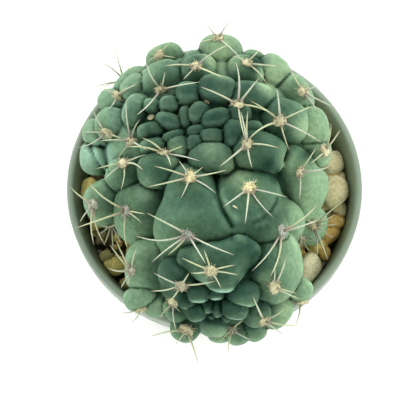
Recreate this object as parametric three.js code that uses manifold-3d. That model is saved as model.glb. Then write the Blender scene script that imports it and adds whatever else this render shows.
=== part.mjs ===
// A two-headed chin cactus (Gymnocalycium) in a round plastic nursery pot.
// Millimetres, +Z up. The origin is the centre of the pot's base, on the surface the pot stands on.

import * as THREE from 'three';
import { mergeVertices } from 'three/addons/utils/BufferGeometryUtils.js';
import Module from 'manifold-3d';

const wasm = await Module();
wasm.setup();

// ---------------------------------------------------------------- driving dimensions

const GAP = 0.35; // clearance between pieces that touch

const POT = {
  height: 80,
  rimRadius: 52.5,
  rimWidth: 2.3,
  collarHeight: 9,
  wall: 1.4,
  baseRadius: 37,
  footHeight: 1.2,
  footWidth: 3,
  floor: 2.8,
  centrePadRadius: 13,
  drainRadius: 4,
  drainRing: 23.5,
  drains: 6,
  lipRound: 0.9,
  sides: 60,
};

const SOIL = { top: POT.height - 17, sides: POT.sides, hole: { steps: 8, sides: 30, room: 0.9 } };

const GRAVEL = {
  bed: 2.6,
  stones: 96,
  smallest: 2.4,
  largest: 4.6,
  stretch: 0.35,
  flatness: 0.62,
  innerRadius: 29,
  clear: 0.6,
  seed: 11,
};

// Heads and neck of the plant's smooth core: centre, half sizes, and lean of the head's own axis.
const NORTH_HEAD = { centre: [-3.8, 7.4, POT.height + 14], half: [36, 36, 21.5], lean: [-11, 0] };
const SOUTH_HEAD = { centre: [1.2, -35, POT.height + 19], half: [22, 22, 19], lean: [0, 48] };
const NECK = { centre: [-3, 0, POT.height - 6], half: [32, 32, 21], lean: [0, 0] };
const HEAD_BLEND = 9;
const NECK_BLEND = 8;
const RIM_ROOM = { clear: 1.4, blend: 5 }; // how the plant gives way where it lies over the pot's rim

const TUBERCLE = {
  fullness: 2.6, // exponent of the superellipsoid: 2 is an ellipsoid, more is squarer
  swell: 1.07, // how much wider than it is seen a tubercle is, so that neighbours press together
  sinkShare: 0.2, // how much of its smaller width a tubercle's middle lies under the core's surface
  sinkBase: 0.5,
  crease: 0.35, // radius that rounds the crease between neighbours
  coreCrease: 0.8,
  upright: 1.2, // how far a crown's crowded tubercles stand up out of the core's own slope
};

const SKIN = {
  detail: 16,
  inner: { centre: [-2, -7, POT.height + 10], half: [14, 28, 6] },
  reach: 75,
  crowding: 0.35,
};

const AREOLE = { radius: 1.9, crownRadius: 1.1, height: 0.9, root: 1.5, sides: 5 };
const SPINE = {
  radius: 0.5,
  sides: 3,
  root: 0.6, // how deep it stands in its areole
  lift: 0.2, // how far its tip stands up, as a share of its length
  clear: 1.2, // room that it keeps from the pot
  float: 0.3, // room that its tip keeps from the skin
  bare: 0.3, // share near the areole that may touch the skin
  samples: 12,
  tries: 16,
  seed: 7,
};

// ---------------------------------------------------------------- the viewing grid

// Places on the plant are read on a viewing grid: the plant seen from above through a pinhole that
// leans towards -Y. A cell of the grid measures `cell` at the height of the pot's rim, and the cell
// [column, row] looks at the rim's centre.
const VIEW = { column: 214.5, row: 183.5, cell: 0.3547, lean: 17.5, distance: 430 };

const leanAngle = THREE.MathUtils.degToRad(VIEW.lean);
const viewBack = new THREE.Vector3(0, -Math.sin(leanAngle), Math.cos(leanAngle));
const viewRight = new THREE.Vector3(1, 0, 0);
const viewUp = new THREE.Vector3().crossVectors(viewBack, viewRight);
const eye = new THREE.Vector3(0, 0, POT.height).addScaledVector(viewBack, VIEW.distance);

function sightLine([column, row]) {
  return viewBack
    .clone()
    .multiplyScalar(-VIEW.distance)
    .addScaledVector(viewRight, (column - VIEW.column) * VIEW.cell)
    .addScaledVector(viewUp, (VIEW.row - row) * VIEW.cell)
    .normalize();
}

// ---------------------------------------------------------------- tubercles and areoles

// Tubercles: column, row, seen width, seen height, turn in degrees, rise over the core, and for
// some the height over the rim. Those of one group are grown together, with a soft valley.
const RIDGE = [
  [193, 192, 16.5, 19, 0, 8.5],
  [193, 229, 22, 17, -4, 7.5],
  [212, 214, 13, 19, 24, 7.5],
  [250, 232, 22, 12, 4, 7.5],
  [247, 197, 20, 19.5, 0, 9],
  [277, 218, 10.5, 15, 10, 7, 20],
];
const RIDGE_BLEND = 5;
const NORTH_CROWN = [
  [186, 118, 4.5, 7.5, 0, 3],
  [199, 115, 7, 8, -38, 4.5],
  [198, 132, 7, 4.5, 8, 3.5],
  [216, 121, 10.5, 7.5, 15, 5],
  [212, 138, 8.5, 6, 0, 5],
  [170, 123, 9.5, 6, -20, 4.5],
  [171, 107, 7, 6.5, 0, 5],
  [189, 97, 8.2, 9, 0, 5.5],
  [154, 108, 7, 5.5, -10, 4.5],
  [139, 113, 8.5, 11.5, -22, 6],
  [153, 132, 9.5, 6, 10, 5.5],
  [174, 138, 8, 4.5, 18, 4],
  [156, 147, 9.8, 6, 8, 5.5],
  [180, 148, 7.5, 8, 15, 5],
  [196, 145, 6, 6.5, 0, 5],
  [233, 136, 7.2, 10.5, 0, 5.5],
  [251, 131, 7.5, 6.5, 0, 4.5],
  [218, 93, 13.5, 10.5, -12, 6],
  [239, 116, 8, 8, 0, 4.5],
];
const NORTH_ROWS = [
  [165, 82, 13.5, 11.5, 0, 5.5],
  [166, 61, 13, 8, 5, 4],
  [199, 73, 12, 10.5, 0, 5.5],
  [220, 58, 15.2, 14.5, 0, 5],
  [245, 75, 12.5, 11.5, 0, 5.5],
  [268, 76, 12, 15, 22, 5],
  [289, 99, 15.5, 10.5, -14, 5.5],
  [250, 101, 15.5, 9.5, -5, 6],
  [279, 125, 15.2, 14.5, 0, 6.5],
  [305, 130, 11.8, 14.5, 10, 5.5],
  [309, 152, 11.5, 8.5, 0, 5.5],
  [137, 91, 10.5, 11.5, 24, 5],
  [117, 105, 8.5, 11.5, 20, 5],
  [117, 127, 9.5, 10, 0, 5.5],
  [102, 134, 9, 11.5, 12, 4.5],
  [197, 60, 8.5, 7.5, 0, 4],
  [150, 76, 8, 7, 28, 3],
  [256, 64, 11, 8, -18, 4],
];
const MIDDLE_RING = [
  [212, 161, 15, 11.5, 0, 7],
  [256, 154, 18.5, 14, -15, 7.5],
  [164, 171, 15.5, 12, 5, 7],
  [128, 176, 12.5, 12, 0, 6],
  [147, 212, 18.2, 20.5, 0, 6.5],
  [110, 202, 14, 20, 0, 5.5],
  [99, 157, 8.5, 12, 10, 4.5],
];
const EAST_ARM = [
  [288, 165, 12, 12, -20, 6],
  [298, 190, 13, 16, -20, 6.5],
];
const EAST_BLEND = 4;
const LOW_EAST = [
  [306, 224, 10, 11, 0, 5, -3],
];
const BROW = [
  [218, 262, 17.5, 13, 0, 6],
  [243, 253, 13, 9, -28, 5.5],
  [196, 260, 11, 8, -14, 5],
  [222, 278, 9.5, 7.5, 0, 6],
];
const BROW_BLEND = 3;
const SOUTH_ROWS = [
  [268, 267, 18, 19.5, 12, 6.5],
  [292, 287, 7.5, 9, 0, 5],
  [152, 268, 12.5, 16.5, 0, 6],
  [182, 272, 12, 9.5, 0, 5.5],
  [143, 296, 8, 10, 0, 4.5],
  [166, 295, 12, 8.5, 0, 6.5],
  [189, 320, 10, 8.5, 0, 5.5],
  [250, 321, 8.5, 8.5, 0, 5],
  [267, 304, 13, 12, 15, 6],
  [160, 302, 8.5, 6, 0, 4.5],
  [235, 322, 10, 9, 0, 5.5],
  [177, 307, 9, 7.5, 0, 5.5],
  [223, 331, 10, 5, 0, 4],
  [214, 323, 9, 8.6, 0, 7, 22],
  [255, 310, 8.5, 8.5, 0, 7, 25],
];
const SOUTH_CROWN = [
  [200, 290, 7.5, 6.5, 0, 6],
  [191, 298, 7.5, 5.5, -8, 5.5],
  [216, 291, 5.5, 4.5, 0, 4.5],
  [198, 308, 6.8, 6, 10, 5.5, 28],
  [234, 305, 9, 7, -12, 5.5, 29.5],
  [217, 306, 4, 5.5, 20, 4.5],
  [208, 303, 3.6, 5, 0, 4.5],
  [225, 315, 4, 4, 0, 4.5],
  [212, 314, 3.4, 3.4, 0, 4],
  [241, 290, 11, 9.5, -10, 6.5],
];
const SEEN_GROUPS = [
  { rows: RIDGE, blend: RIDGE_BLEND, upright: 0 },
  { rows: BROW, blend: BROW_BLEND, upright: 0 },
  { rows: EAST_ARM, blend: EAST_BLEND, upright: 0 },
  ...[...NORTH_ROWS, ...MIDDLE_RING, ...LOW_EAST, ...SOUTH_ROWS].map((row) => alone(row, 0)),
  ...[...NORTH_CROWN, ...SOUTH_CROWN].map((row) => alone(row, TUBERCLE.upright)),
];

function alone(row, upright) {
  return { rows: [row], blend: 0, upright };
}

// Rings of tubercles on the flanks below: angle from the head's axis, how many, width, height, rise.
const FLANK_RINGS = [
  { round: NORTH_HEAD, rings: [[92, 16, 17, 18, 5.5], [114, 15, 17, 17, 5.5], [136, 14, 15, 15, 4.5]] },
  { round: SOUTH_HEAD, rings: [[98, 11, 14, 15, 4.5], [124, 9, 14, 14, 4.5]] },
  { round: { ...NECK, centre: [-3, 0, POT.height + 4] }, rings: [[112, 15, 15, 14, 4.5]] },
];
const FLANK = { lowest: POT.height - 3, highest: POT.height + 11, spacing: 0.62 };

// Areoles: where each sits, and where the tips of its spines are.
const AREOLES = [
  { at: [159, 55], tips: [[150, 44], [172, 42], [148, 62], [176, 58]] },
  { at: [117, 96], tips: [[128, 86], [137, 84], [104, 88], [108, 110]] },
  { at: [161, 90], tips: [[146, 62], [200, 82], [137, 115], [165, 72]] },
  { at: [196, 66], tips: [[165, 66], [183, 80], [225, 78], [230, 44]] },
  { at: [218, 38], tips: [[202, 20], [236, 18], [241, 59], [196, 44]] },
  { at: [107, 133], tips: [[82, 132], [93, 110], [78, 148], [122, 138]] },
  { at: [131, 141], tips: [[126, 101], [140, 119], [118, 158], [147, 150], [100, 141]] },
  { at: [165, 153], tips: [[142, 138], [183, 146], [200, 161], [171, 166], [125, 147]] },
  { at: [124, 163], tips: [[96, 169], [104, 180], [121, 190], [143, 170], [148, 154]] },
  { at: [190, 177], tips: [[154, 166], [148, 187], [179, 161], [203, 167], [227, 170], [216, 193], [181, 198]] },
  { at: [247, 63], tips: [[267, 84], [280, 66], [232, 56], [262, 48]] },
  { at: [238, 104], tips: [[201, 87], [236, 62], [259, 78], [275, 115], [245, 140]] },
  { at: [280, 121], tips: [[277, 89], [313, 106], [322, 143], [248, 140], [289, 150], [251, 101]] },
  { at: [303, 92], tips: [[289, 68], [335, 108], [320, 85], [318, 112]] },
  { at: [247, 144], tips: [[219, 167], [252, 168], [241, 112], [248, 111], [279, 148]] },
  { at: [300, 172], tips: [[299, 200], [331, 166], [316, 148]] },
  { at: [325, 151], tips: [[310, 164], [340, 130], [331, 124]] },
  { at: [249, 188], tips: [[223, 207], [245, 224], [273, 217], [287, 197], [257, 179]] },
  { at: [188, 235], tips: [[147, 213], [136, 236], [152, 262], [168, 255], [234, 255], [206, 264]] },
  { at: [126, 211], tips: [[88, 182], [145, 214], [142, 223], [76, 228], [128, 250]] },
  { at: [93, 205], tips: [[70, 187], [80, 222], [94, 245], [105, 245]] },
  { at: [131, 271], tips: [[110, 245], [116, 240], [137, 247], [108, 268], [121, 288], [128, 285]] },
  { at: [181, 286], tips: [[154, 273], [151, 291], [189, 273], [216, 281], [168, 303]] },
  { at: [211, 271], tips: [[182, 258], [191, 273], [204, 250], [235, 265], [238, 275], [221, 288]] },
  { at: [282, 232], tips: [[252, 271], [270, 277], [318, 204], [320, 219]] },
  { at: [274, 287], tips: [[275, 268], [286, 257], [300, 299], [296, 293]] },
  { at: [173, 303], tips: [[167, 312], [180, 312], [176, 330], [160, 318]] },
  { at: [142, 309], tips: [[122, 313], [132, 322]] },
  { at: [187, 330], tips: [[152, 336], [198, 362], [176, 344]] },
  { at: [232, 329], tips: [[243, 320], [222, 340], [228, 352], [252, 340]] },
  { at: [264, 321], tips: [[253, 297], [286, 308], [297, 325], [282, 334]] },
  { at: [301, 302], tips: [[296, 324], [322, 269]] },
  { at: [314, 226], tips: [[335, 214], [338, 224], [328, 260], [308, 205], [300, 214]] },
];
const FLANK_SPINES = { count: 6, shortest: 8, longest: 13, raise: 32 };

// ---------------------------------------------------------------- helpers

function seededRandom(seed) {
  let state = seed;
  return () => {
    state = (state * 1664525 + 1013904223) % 4294967296;
    return state / 4294967296;
  };
}

// Merges a closed geometry's shared vertices and drops the triangles that collapse at a pole.
function solidFrom(geometry) {
  const bare = geometry.index ? geometry.toNonIndexed() : geometry.clone();
  bare.deleteAttribute('normal');
  bare.deleteAttribute('uv');
  const merged = mergeVertices(bare, 1e-4);
  const corners = merged.index.array;
  const kept = [];
  for (let i = 0; i < corners.length; i += 3) {
    const [a, b, c] = [corners[i], corners[i + 1], corners[i + 2]];
    if (a !== b && b !== c && c !== a) kept.push(a, b, c);
  }
  const mesh = new wasm.Mesh({
    numProp: 3,
    vertProperties: new Float32Array(merged.attributes.position.array),
    triVerts: new Uint32Array(kept),
  });
  return new wasm.Manifold(mesh);
}

function geometryFrom(solid) {
  const mesh = solid.getMesh();
  const geometry = new THREE.BufferGeometry();
  geometry.setAttribute('position', new THREE.BufferAttribute(mesh.vertProperties, 3));
  geometry.setIndex(new THREE.BufferAttribute(mesh.triVerts, 1));
  geometry.computeVertexNormals();
  return geometry;
}

// Turns a profile of [radius, height] points round the Z axis.
function turned(profile, sides) {
  const points = profile.map(([radius, height]) => new THREE.Vector2(radius, height));
  return new THREE.LatheGeometry(points, sides).rotateX(Math.PI / 2);
}

const rimInside = POT.rimRadius - POT.rimWidth;
const baseInside = POT.baseRadius - POT.wall;

// The pot's inner wall is a plain cone: its radius at a height.
function insideRadius(height) {
  return baseInside + ((rimInside - baseInside) * height) / POT.height;
}

// ---------------------------------------------------------------- the plant's form

// Distance from a local point to a superellipsoid, measured along the ray from its middle.
function superellipsoid(x, y, z, half, fullness) {
  const length = Math.hypot(x, y, z) + 1e-9;
  const share =
    Math.abs(x / half[0]) ** fullness + Math.abs(y / half[1]) ** fullness + Math.abs(z / half[2]) ** fullness;
  return length * (1 - 1 / (share ** (1 / fullness) + 1e-9));
}

function smoothUnion(a, b, radius) {
  const h = THREE.MathUtils.clamp(0.5 + (0.5 * (b - a)) / radius, 0, 1);
  return b * (1 - h) + a * h - radius * h * (1 - h);
}

// Three axes at right angles: the last is the normal, the first is as near `along` as it can be.
function axesFrom(normal, along) {
  const third = normal.clone().normalize();
  const first = along.clone().addScaledVector(third, -along.dot(third)).normalize();
  const second = new THREE.Vector3().crossVectors(third, first);
  return [first, second, third];
}

function lobe({ centre, half, lean }) {
  const [toX, toY] = lean.map(THREE.MathUtils.degToRad);
  const axis = new THREE.Vector3(Math.sin(toX), -Math.sin(toY), Math.cos(toX) * Math.cos(toY));
  return { centre: new THREE.Vector3(...centre), half, axes: axesFrom(axis, new THREE.Vector3(1, 0, 0)) };
}

function distanceTo(body, point, fullness) {
  const dx = point.x - body.centre.x;
  const dy = point.y - body.centre.y;
  const dz = point.z - body.centre.z;
  const [u, v, w] = body.axes.map((axis) => dx * axis.x + dy * axis.y + dz * axis.z);
  return superellipsoid(u, v, w, body.half, fullness);
}

const northLobe = lobe(NORTH_HEAD);
const southLobe = lobe(SOUTH_HEAD);
const neckLobe = lobe(NECK);

function coreDistance(point) {
  const heads = smoothUnion(distanceTo(northLobe, point, 2), distanceTo(southLobe, point, 2), HEAD_BLEND);
  return smoothUnion(heads, distanceTo(neckLobe, point, 2), NECK_BLEND);
}

function groupDistance({ members, blend }, point) {
  const distances = members.map((tubercle) => distanceTo(tubercle, point, TUBERCLE.fullness));
  return distances.reduce((nearest, distance) => smoothUnion(nearest, distance, blend));
}

function bodyDistance(point) {
  let lumps = 50;
  for (const group of groups) {
    if (group.members.every(({ centre, reach }) => point.distanceTo(centre) > reach + group.blend)) continue;
    lumps = smoothUnion(lumps, groupDistance(group, point), TUBERCLE.crease);
  }
  const grown = smoothUnion(coreDistance(point), lumps, TUBERCLE.coreCrease);
  return -smoothUnion(-grown, -rimRoom(point), RIM_ROOM.blend);
}

// Positive where the plant can't be: beside the pot's inner wall and beyond it, under the rim's top.
function rimRoom(point) {
  const wall = insideRadius(Math.min(point.z, POT.height));
  const beyondWall = Math.hypot(point.x, point.y) - wall + RIM_ROOM.clear;
  return Math.min(beyondWall, POT.height + RIM_ROOM.clear - point.z);
}

function normalAt(distance, point) {
  const step = 0.05;
  const slope = ['x', 'y', 'z'].map((axis) => {
    const ahead = point.clone();
    const behind = point.clone();
    ahead[axis] += step;
    behind[axis] -= step;
    return distance(ahead) - distance(behind);
  });
  return new THREE.Vector3(...slope).normalize();
}

const MEET = { steps: 600, near: 0.002, share: 0.7 }; // share of the room left that is taken as a step

// Follows a line from outside until it meets the surface; null if it passes by.
function meet(distance, origin, direction, start, end, level = 0) {
  let travelled = start;
  const point = new THREE.Vector3();
  for (let step = 0; step < MEET.steps && travelled < end; step++) {
    point.copy(origin).addScaledVector(direction, travelled);
    const left = distance(point) - level;
    if (left < MEET.near) return point;
    travelled += left * MEET.share;
  }
  return null;
}

const SIGHT_START = VIEW.distance - 80;
const SIGHT_END = VIEW.distance + 60;

function nearestOnSight(direction) {
  let best = null;
  let least = Infinity;
  for (let travelled = SIGHT_START; travelled < SIGHT_END; travelled += 0.25) {
    const point = eye.clone().addScaledVector(direction, travelled);
    const distance = coreDistance(point);
    if (distance < least) {
      least = distance;
      best = point;
    }
  }
  return best;
}

function seenTubercle([column, row, width, height, turn, rise, over = null], upright) {
  const sight = sightLine([column, row]);
  const sink = TUBERCLE.sinkShare * Math.min(width, height) + TUBERCLE.sinkBase;
  let centre = meet(coreDistance, eye, sight, SIGHT_START, SIGHT_END, -sink) ?? nearestOnSight(sight);
  if (over !== null) {
    centre = eye.clone().addScaledVector(sight, (POT.height + over - eye.z) / sight.z);
  }
  const normal = normalAt(coreDistance, centre).addScaledVector(viewBack, upright).normalize();
  const angle = THREE.MathUtils.degToRad(turn);
  const along = viewRight.clone().multiplyScalar(Math.cos(angle)).addScaledVector(viewUp, Math.sin(angle));
  const axes = axesFrom(normal, along);

  // Half sizes that look `width` by `height` along the sight line, however far the surface leans.
  let depth = rise + sink;
  const seen = [width / 2, height / 2].map((half, i) => {
    const flat = axes[i].clone().addScaledVector(sight, -axes[i].dot(sight));
    const shown = flat.length();
    const lean = Math.abs(normal.dot(flat.normalize()));
    depth = Math.min(depth, (0.85 * half) / Math.max(lean, 1e-6));
    return { half, shown, lean };
  });
  const [across, down] = seen.map(({ half, shown, lean }) => {
    const rest = Math.max(half ** 2 - (depth * lean) ** 2, (0.9 * half) ** 2);
    return Math.sqrt(rest) / Math.max(shown, 0.8);
  });
  return tubercleAt(centre, [across, down, depth], axes);
}

function tubercleAt(centre, [across, down, depth], axes) {
  const half = [across * TUBERCLE.swell, down * TUBERCLE.swell, depth];
  return { centre, half, axes, reach: Math.max(across, down, depth) * 1.5 + 5 };
}

// Staggered rings on the flanks, left out where a tubercle already stands.
function flankTubercles(standing) {
  const added = [];
  for (const { round, rings } of FLANK_RINGS) {
    const { centre: middle, axes: frame } = lobe(round);
    rings.forEach(([polar, count, width, height, rise], ring) => {
      for (let i = 0; i < count; i++) {
        const round360 = (2 * Math.PI * (i + 0.5 * (ring % 2))) / count;
        const fromAxis = THREE.MathUtils.degToRad(polar);
        const direction = frame[0].clone().multiplyScalar(Math.cos(round360) * Math.sin(fromAxis));
        direction.addScaledVector(frame[1], Math.sin(round360) * Math.sin(fromAxis));
        direction.addScaledVector(frame[2], Math.cos(fromAxis));
        const outside = middle.clone().addScaledVector(direction, SKIN.reach);
        const surface = meet(coreDistance, outside, direction.clone().negate(), 0, SKIN.reach);
        const normal = normalAt(coreDistance, surface);
        const sink = TUBERCLE.sinkShare * Math.min(width, height) + TUBERCLE.sinkBase;
        const centre = surface.clone().addScaledVector(normal, -sink);
        const tooNear = (other) => {
          const room = FLANK.spacing * (Math.min(Math.max(other.half[0], other.half[1]), 10) + width / 2);
          return centre.distanceTo(other.centre) < room;
        };
        if (centre.z < FLANK.lowest || centre.z > FLANK.highest) continue;
        if (normal.dot(direction) < 0.6) continue;
        if ([...standing, ...added].some(tooNear)) continue;
        const axes = axesFrom(normal, new THREE.Vector3().crossVectors(frame[2], normal));
        added.push(tubercleAt(centre, [width / 2, height / 2, rise + sink], axes));
      }
    });
  }
  return added;
}

const seenGroups = SEEN_GROUPS.map(({ rows, blend, upright }) => ({
  members: rows.map((row) => seenTubercle(row, upright)),
  blend,
}));
const flankOnes = flankTubercles(seenGroups.flatMap(({ members }) => members));
const groups = [...seenGroups, ...flankOnes.map((tubercle) => ({ members: [tubercle], blend: 0 }))];

// The skin: an even ball of triangles, crowded towards the crowns, whose corners are carried out
// from a slim inner ellipsoid, through ever larger ones, to the body's surface.
function skinSolid() {
  const geometry = new THREE.IcosahedronGeometry(1, SKIN.detail);
  const positions = geometry.attributes.position;
  const middle = new THREE.Vector3(...SKIN.inner.centre);
  const half = new THREE.Vector3(...SKIN.inner.half);
  const found = new Map();
  const corner = new THREE.Vector3();
  for (let i = 0; i < positions.count; i++) {
    corner.fromBufferAttribute(positions, i);
    corner.z += SKIN.crowding;
    corner.normalize();
    const key = corner.toArray().map((value) => value.toFixed(5)).join();
    if (!found.has(key)) {
      const start = corner.clone().multiply(half);
      const outside = start.add(middle).addScaledVector(corner, SKIN.reach);
      found.set(key, meet(bodyDistance, outside, corner.clone().negate(), 0, SKIN.reach));
    }
    positions.setXYZ(i, ...found.get(key).toArray());
  }
  return solidFrom(geometry);
}

// ---------------------------------------------------------------- pot, soil and gravel

function buildPot() {
  const { height, rimRadius, collarHeight, wall, footHeight, footWidth, centrePadRadius } = POT;
  const collarFoot = height - collarHeight;
  const round = POT.lipRound;
  const wallFoot = insideRadius(0) + wall;
  const profile = [
    [0, 0],
    [centrePadRadius, 0],
    [centrePadRadius + footHeight, footHeight],
    [wallFoot - footWidth - footHeight, footHeight],
    [wallFoot - footWidth, 0],
    [wallFoot - round, 0],
    [wallFoot, round],
    [insideRadius(collarFoot) + wall, collarFoot],
    [rimRadius - round, collarFoot],
    [rimRadius - round / 2, collarFoot + round / 2],
    [rimRadius, height - round],
    [rimRadius - round * 0.3, height - round * 0.3],
    [rimRadius - round, height],
    [rimInside + round, height],
    [rimInside + round * 0.3, height - round * 0.3],
    [insideRadius(height - round), height - round],
    [insideRadius(POT.floor + round), POT.floor + round],
    [insideRadius(POT.floor) - round, POT.floor],
    [0, POT.floor],
  ];
  let pot = solidFrom(turned(profile, POT.sides));
  for (let i = 0; i < POT.drains; i++) {
    const angle = (2 * Math.PI * i) / POT.drains;
    const drill = new THREE.CylinderGeometry(POT.drainRadius, POT.drainRadius, 4 * POT.floor, 16);
    drill.rotateX(Math.PI / 2).translate(POT.drainRing * Math.cos(angle), POT.drainRing * Math.sin(angle), 0);
    pot = pot.subtract(solidFrom(drill));
  }
  return pot;
}

function buildSoil() {
  const floor = POT.floor + GAP;
  const plug = turned(
    [
      [0, floor],
      [insideRadius(floor) - POT.lipRound - GAP, floor],
      [insideRadius(floor + POT.lipRound) - GAP, floor + POT.lipRound],
      [insideRadius(SOIL.top) - GAP, SOIL.top],
      [0, SOIL.top],
    ],
    SOIL.sides,
  );
  return solidFrom(plug).subtract(neckHole());
}

// The plain bowl that the plant's neck stands in, turned from the underside of the neck's own curve.
function neckHole() {
  const { steps, sides, room } = SOIL.hole;
  const [middleX, middleY, middleZ] = NECK.centre;
  const radius = NECK.half[0] + room;
  const depth = NECK.half[2] + room;
  const bowl = [];
  for (let i = 0; i <= steps; i++) {
    const angle = (Math.PI / 2) * (i / steps);
    bowl.push([radius * Math.sin(angle), -depth * Math.cos(angle)]);
  }
  return solidFrom(turned([...bowl, [0, 0]], sides).translate(middleX, middleY, middleZ));
}

// One stone: a rough ball pressed flat, lying any way round.
function stoneGeometry(size, random) {
  const stone = new THREE.IcosahedronGeometry(size, 0);
  stone.rotateX(random() * Math.PI).rotateY(random() * Math.PI);
  stone.scale(1 + GRAVEL.stretch * random(), 1, GRAVEL.flatness);
  return stone.rotateZ(random() * Math.PI);
}

function standsClear(geometry) {
  const positions = geometry.attributes.position;
  const corner = new THREE.Vector3();
  for (let i = 0; i < positions.count; i++) {
    corner.fromBufferAttribute(positions, i);
    if (bodyDistance(corner) < GRAVEL.clear) return false;
  }
  return true;
}

// Stones bedded in grit, kept inside the pot and clear of the plant.
function buildGravel() {
  const random = seededRandom(GRAVEL.seed);
  const bottom = SOIL.top + GAP;
  const top = bottom + GRAVEL.bed;
  const outer = insideRadius(top) - GAP;
  const layer = [[0, bottom], [insideRadius(bottom) - GAP, bottom]];
  const bed = turned([...layer, [outer, top], [0, top]], SOIL.sides);
  const pieces = [solidFrom(bed)];
  const goldenAngle = Math.PI * (3 - Math.sqrt(5));
  for (let i = 0; i < GRAVEL.stones; i++) {
    const size = GRAVEL.smallest + (GRAVEL.largest - GRAVEL.smallest) * random() ** 1.5;
    const share = (i + random()) / GRAVEL.stones;
    const radius = Math.sqrt(GRAVEL.innerRadius ** 2 + share * (outer ** 2 - GRAVEL.innerRadius ** 2));
    const angle = i * goldenAngle;
    const height = Math.max(top, bottom + size * GRAVEL.flatness);
    const stone = stoneGeometry(size, random);
    stone.translate(radius * Math.cos(angle), radius * Math.sin(angle), height);
    if (standsClear(stone)) pieces.push(solidFrom(stone));
  }
  const inside = turned([...layer, [rimInside - GAP, POT.height], [0, POT.height]], SOIL.sides);
  return wasm.Manifold.union(pieces).intersect(solidFrom(inside)).subtract(neckHole());
}

// ---------------------------------------------------------------- areoles and spines

const gravelTop = SOIL.top + GAP + GRAVEL.bed + GRAVEL.largest * GRAVEL.flatness;

function clearOfPot(point, room = SPINE.clear) {
  const radius = Math.hypot(point.x, point.y);
  const nearWall = radius > insideRadius(point.z) - room && radius < POT.rimRadius + room;
  if (nearWall && point.z < POT.height + room) return false;
  return radius > POT.rimRadius || point.z > gravelTop + room / 2;
}

// A spine's tip, lifted until the whole spine stands clear of the pot and over the skin.
function clearTip(base, tip, lift) {
  const point = new THREE.Vector3();
  const isClear = (share) => {
    point.lerpVectors(base, tip, share);
    return clearOfPot(point) && (share < SPINE.bare || bodyDistance(point) > SPINE.float * share);
  };
  const shares = Array.from({ length: SPINE.samples }, (_, i) => (i + 1) / SPINE.samples);
  for (let tries = 0; tries < SPINE.tries; tries++) {
    if (shares.every(isClear)) return tip;
    tip.addScaledVector(lift, 1);
  }
  return null;
}

function seenAreole({ at, tips }) {
  const sight = sightLine(at);
  const base = meet(bodyDistance, eye, sight, SIGHT_START, SIGHT_END);
  if (!base) return null;
  const normal = normalAt(bodyDistance, base);
  const spines = tips.map((place) => {
    const toTip = sightLine(place);
    const along = base.clone().sub(eye).dot(toTip);
    const tip = eye.clone().addScaledVector(toTip, along);
    tip.addScaledVector(toTip, -SPINE.lift * tip.distanceTo(base));
    return clearTip(base, tip, toTip.clone().negate());
  });
  return { base, normal, tips: spines.filter(Boolean) };
}

function flankAreole(tubercle, random) {
  const normal = tubercle.axes[2];
  const base = tubercle.centre.clone().addScaledVector(normal, tubercle.half[2]);
  if (bodyDistance(base) < -AREOLE.height || !clearOfPot(base, AREOLE.radius + SPINE.clear)) return null;
  const raise = THREE.MathUtils.degToRad(FLANK_SPINES.raise);
  const tips = [];
  for (let i = 0; i < FLANK_SPINES.count; i++) {
    const angle = (2 * Math.PI * (i + 0.5 * random())) / FLANK_SPINES.count;
    const length = FLANK_SPINES.shortest + (FLANK_SPINES.longest - FLANK_SPINES.shortest) * random();
    const direction = tubercle.axes[0].clone().multiplyScalar(Math.cos(angle) * Math.cos(raise));
    direction.addScaledVector(tubercle.axes[1], Math.sin(angle) * Math.cos(raise));
    direction.addScaledVector(normal, Math.sin(raise));
    const tip = clearTip(base, base.clone().addScaledVector(direction, length), normal);
    if (tip) tips.push(tip);
  }
  return { base, normal, tips };
}

// Stands a geometry that was made upright along +Y on a place, `root` deep in it.
function rooted(geometry, height, root, place, direction) {
  const turn = new THREE.Quaternion().setFromUnitVectors(new THREE.Vector3(0, 1, 0), direction);
  geometry.translate(0, height / 2 - root, 0).applyQuaternion(turn);
  return solidFrom(geometry.translate(place.x, place.y, place.z));
}

function areolePad({ base, normal }) {
  const { radius, crownRadius, height, root, sides } = AREOLE;
  const pad = new THREE.CylinderGeometry(crownRadius, radius, height + root, sides);
  return rooted(pad, height + root, root, base, normal);
}

function spine(base, tip) {
  const length = tip.distanceTo(base) + SPINE.root;
  const needle = new THREE.ConeGeometry(SPINE.radius, length, SPINE.sides);
  return rooted(needle, length, SPINE.root, base, tip.clone().sub(base).normalize());
}

function buildPlant() {
  const random = seededRandom(SPINE.seed);
  const areoles = [
    ...AREOLES.map(seenAreole),
    ...flankOnes.map((tubercle) => flankAreole(tubercle, random)),
  ].filter(Boolean);
  const pieces = areoles.flatMap((areole) => [
    areolePad(areole),
    ...areole.tips.map((tip) => spine(areole.base, tip)),
  ]);
  return wasm.Manifold.union([skinSolid(), ...pieces]);
}

// ---------------------------------------------------------------- assembly

function part(name, solid, color, roughness) {
  const material = new THREE.MeshStandardMaterial({ color, roughness, metalness: 0 });
  const mesh = new THREE.Mesh(geometryFrom(solid), material);
  mesh.name = name;
  return mesh;
}

const object = new THREE.Group();
object.add(part('pot', buildPot(), 0x8fa592, 0.45));
object.add(part('soil', buildSoil(), 0x2b261a, 0.95));
object.add(part('gravel', buildGravel(), 0xb9b58c, 0.9));
object.add(part('cactus', buildPlant(), 0x4f7a5c, 0.5));

export default object;
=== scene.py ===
"""A two-headed chin cactus in a round grey-green pot: the finish of every surface.

Lengths are in millimetres in the part's own frame until a mesh is made, and metres after that.
"""

import itertools
import math

import bmesh
import bpy
import numpy as np
from mathutils import Matrix, Vector


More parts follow.
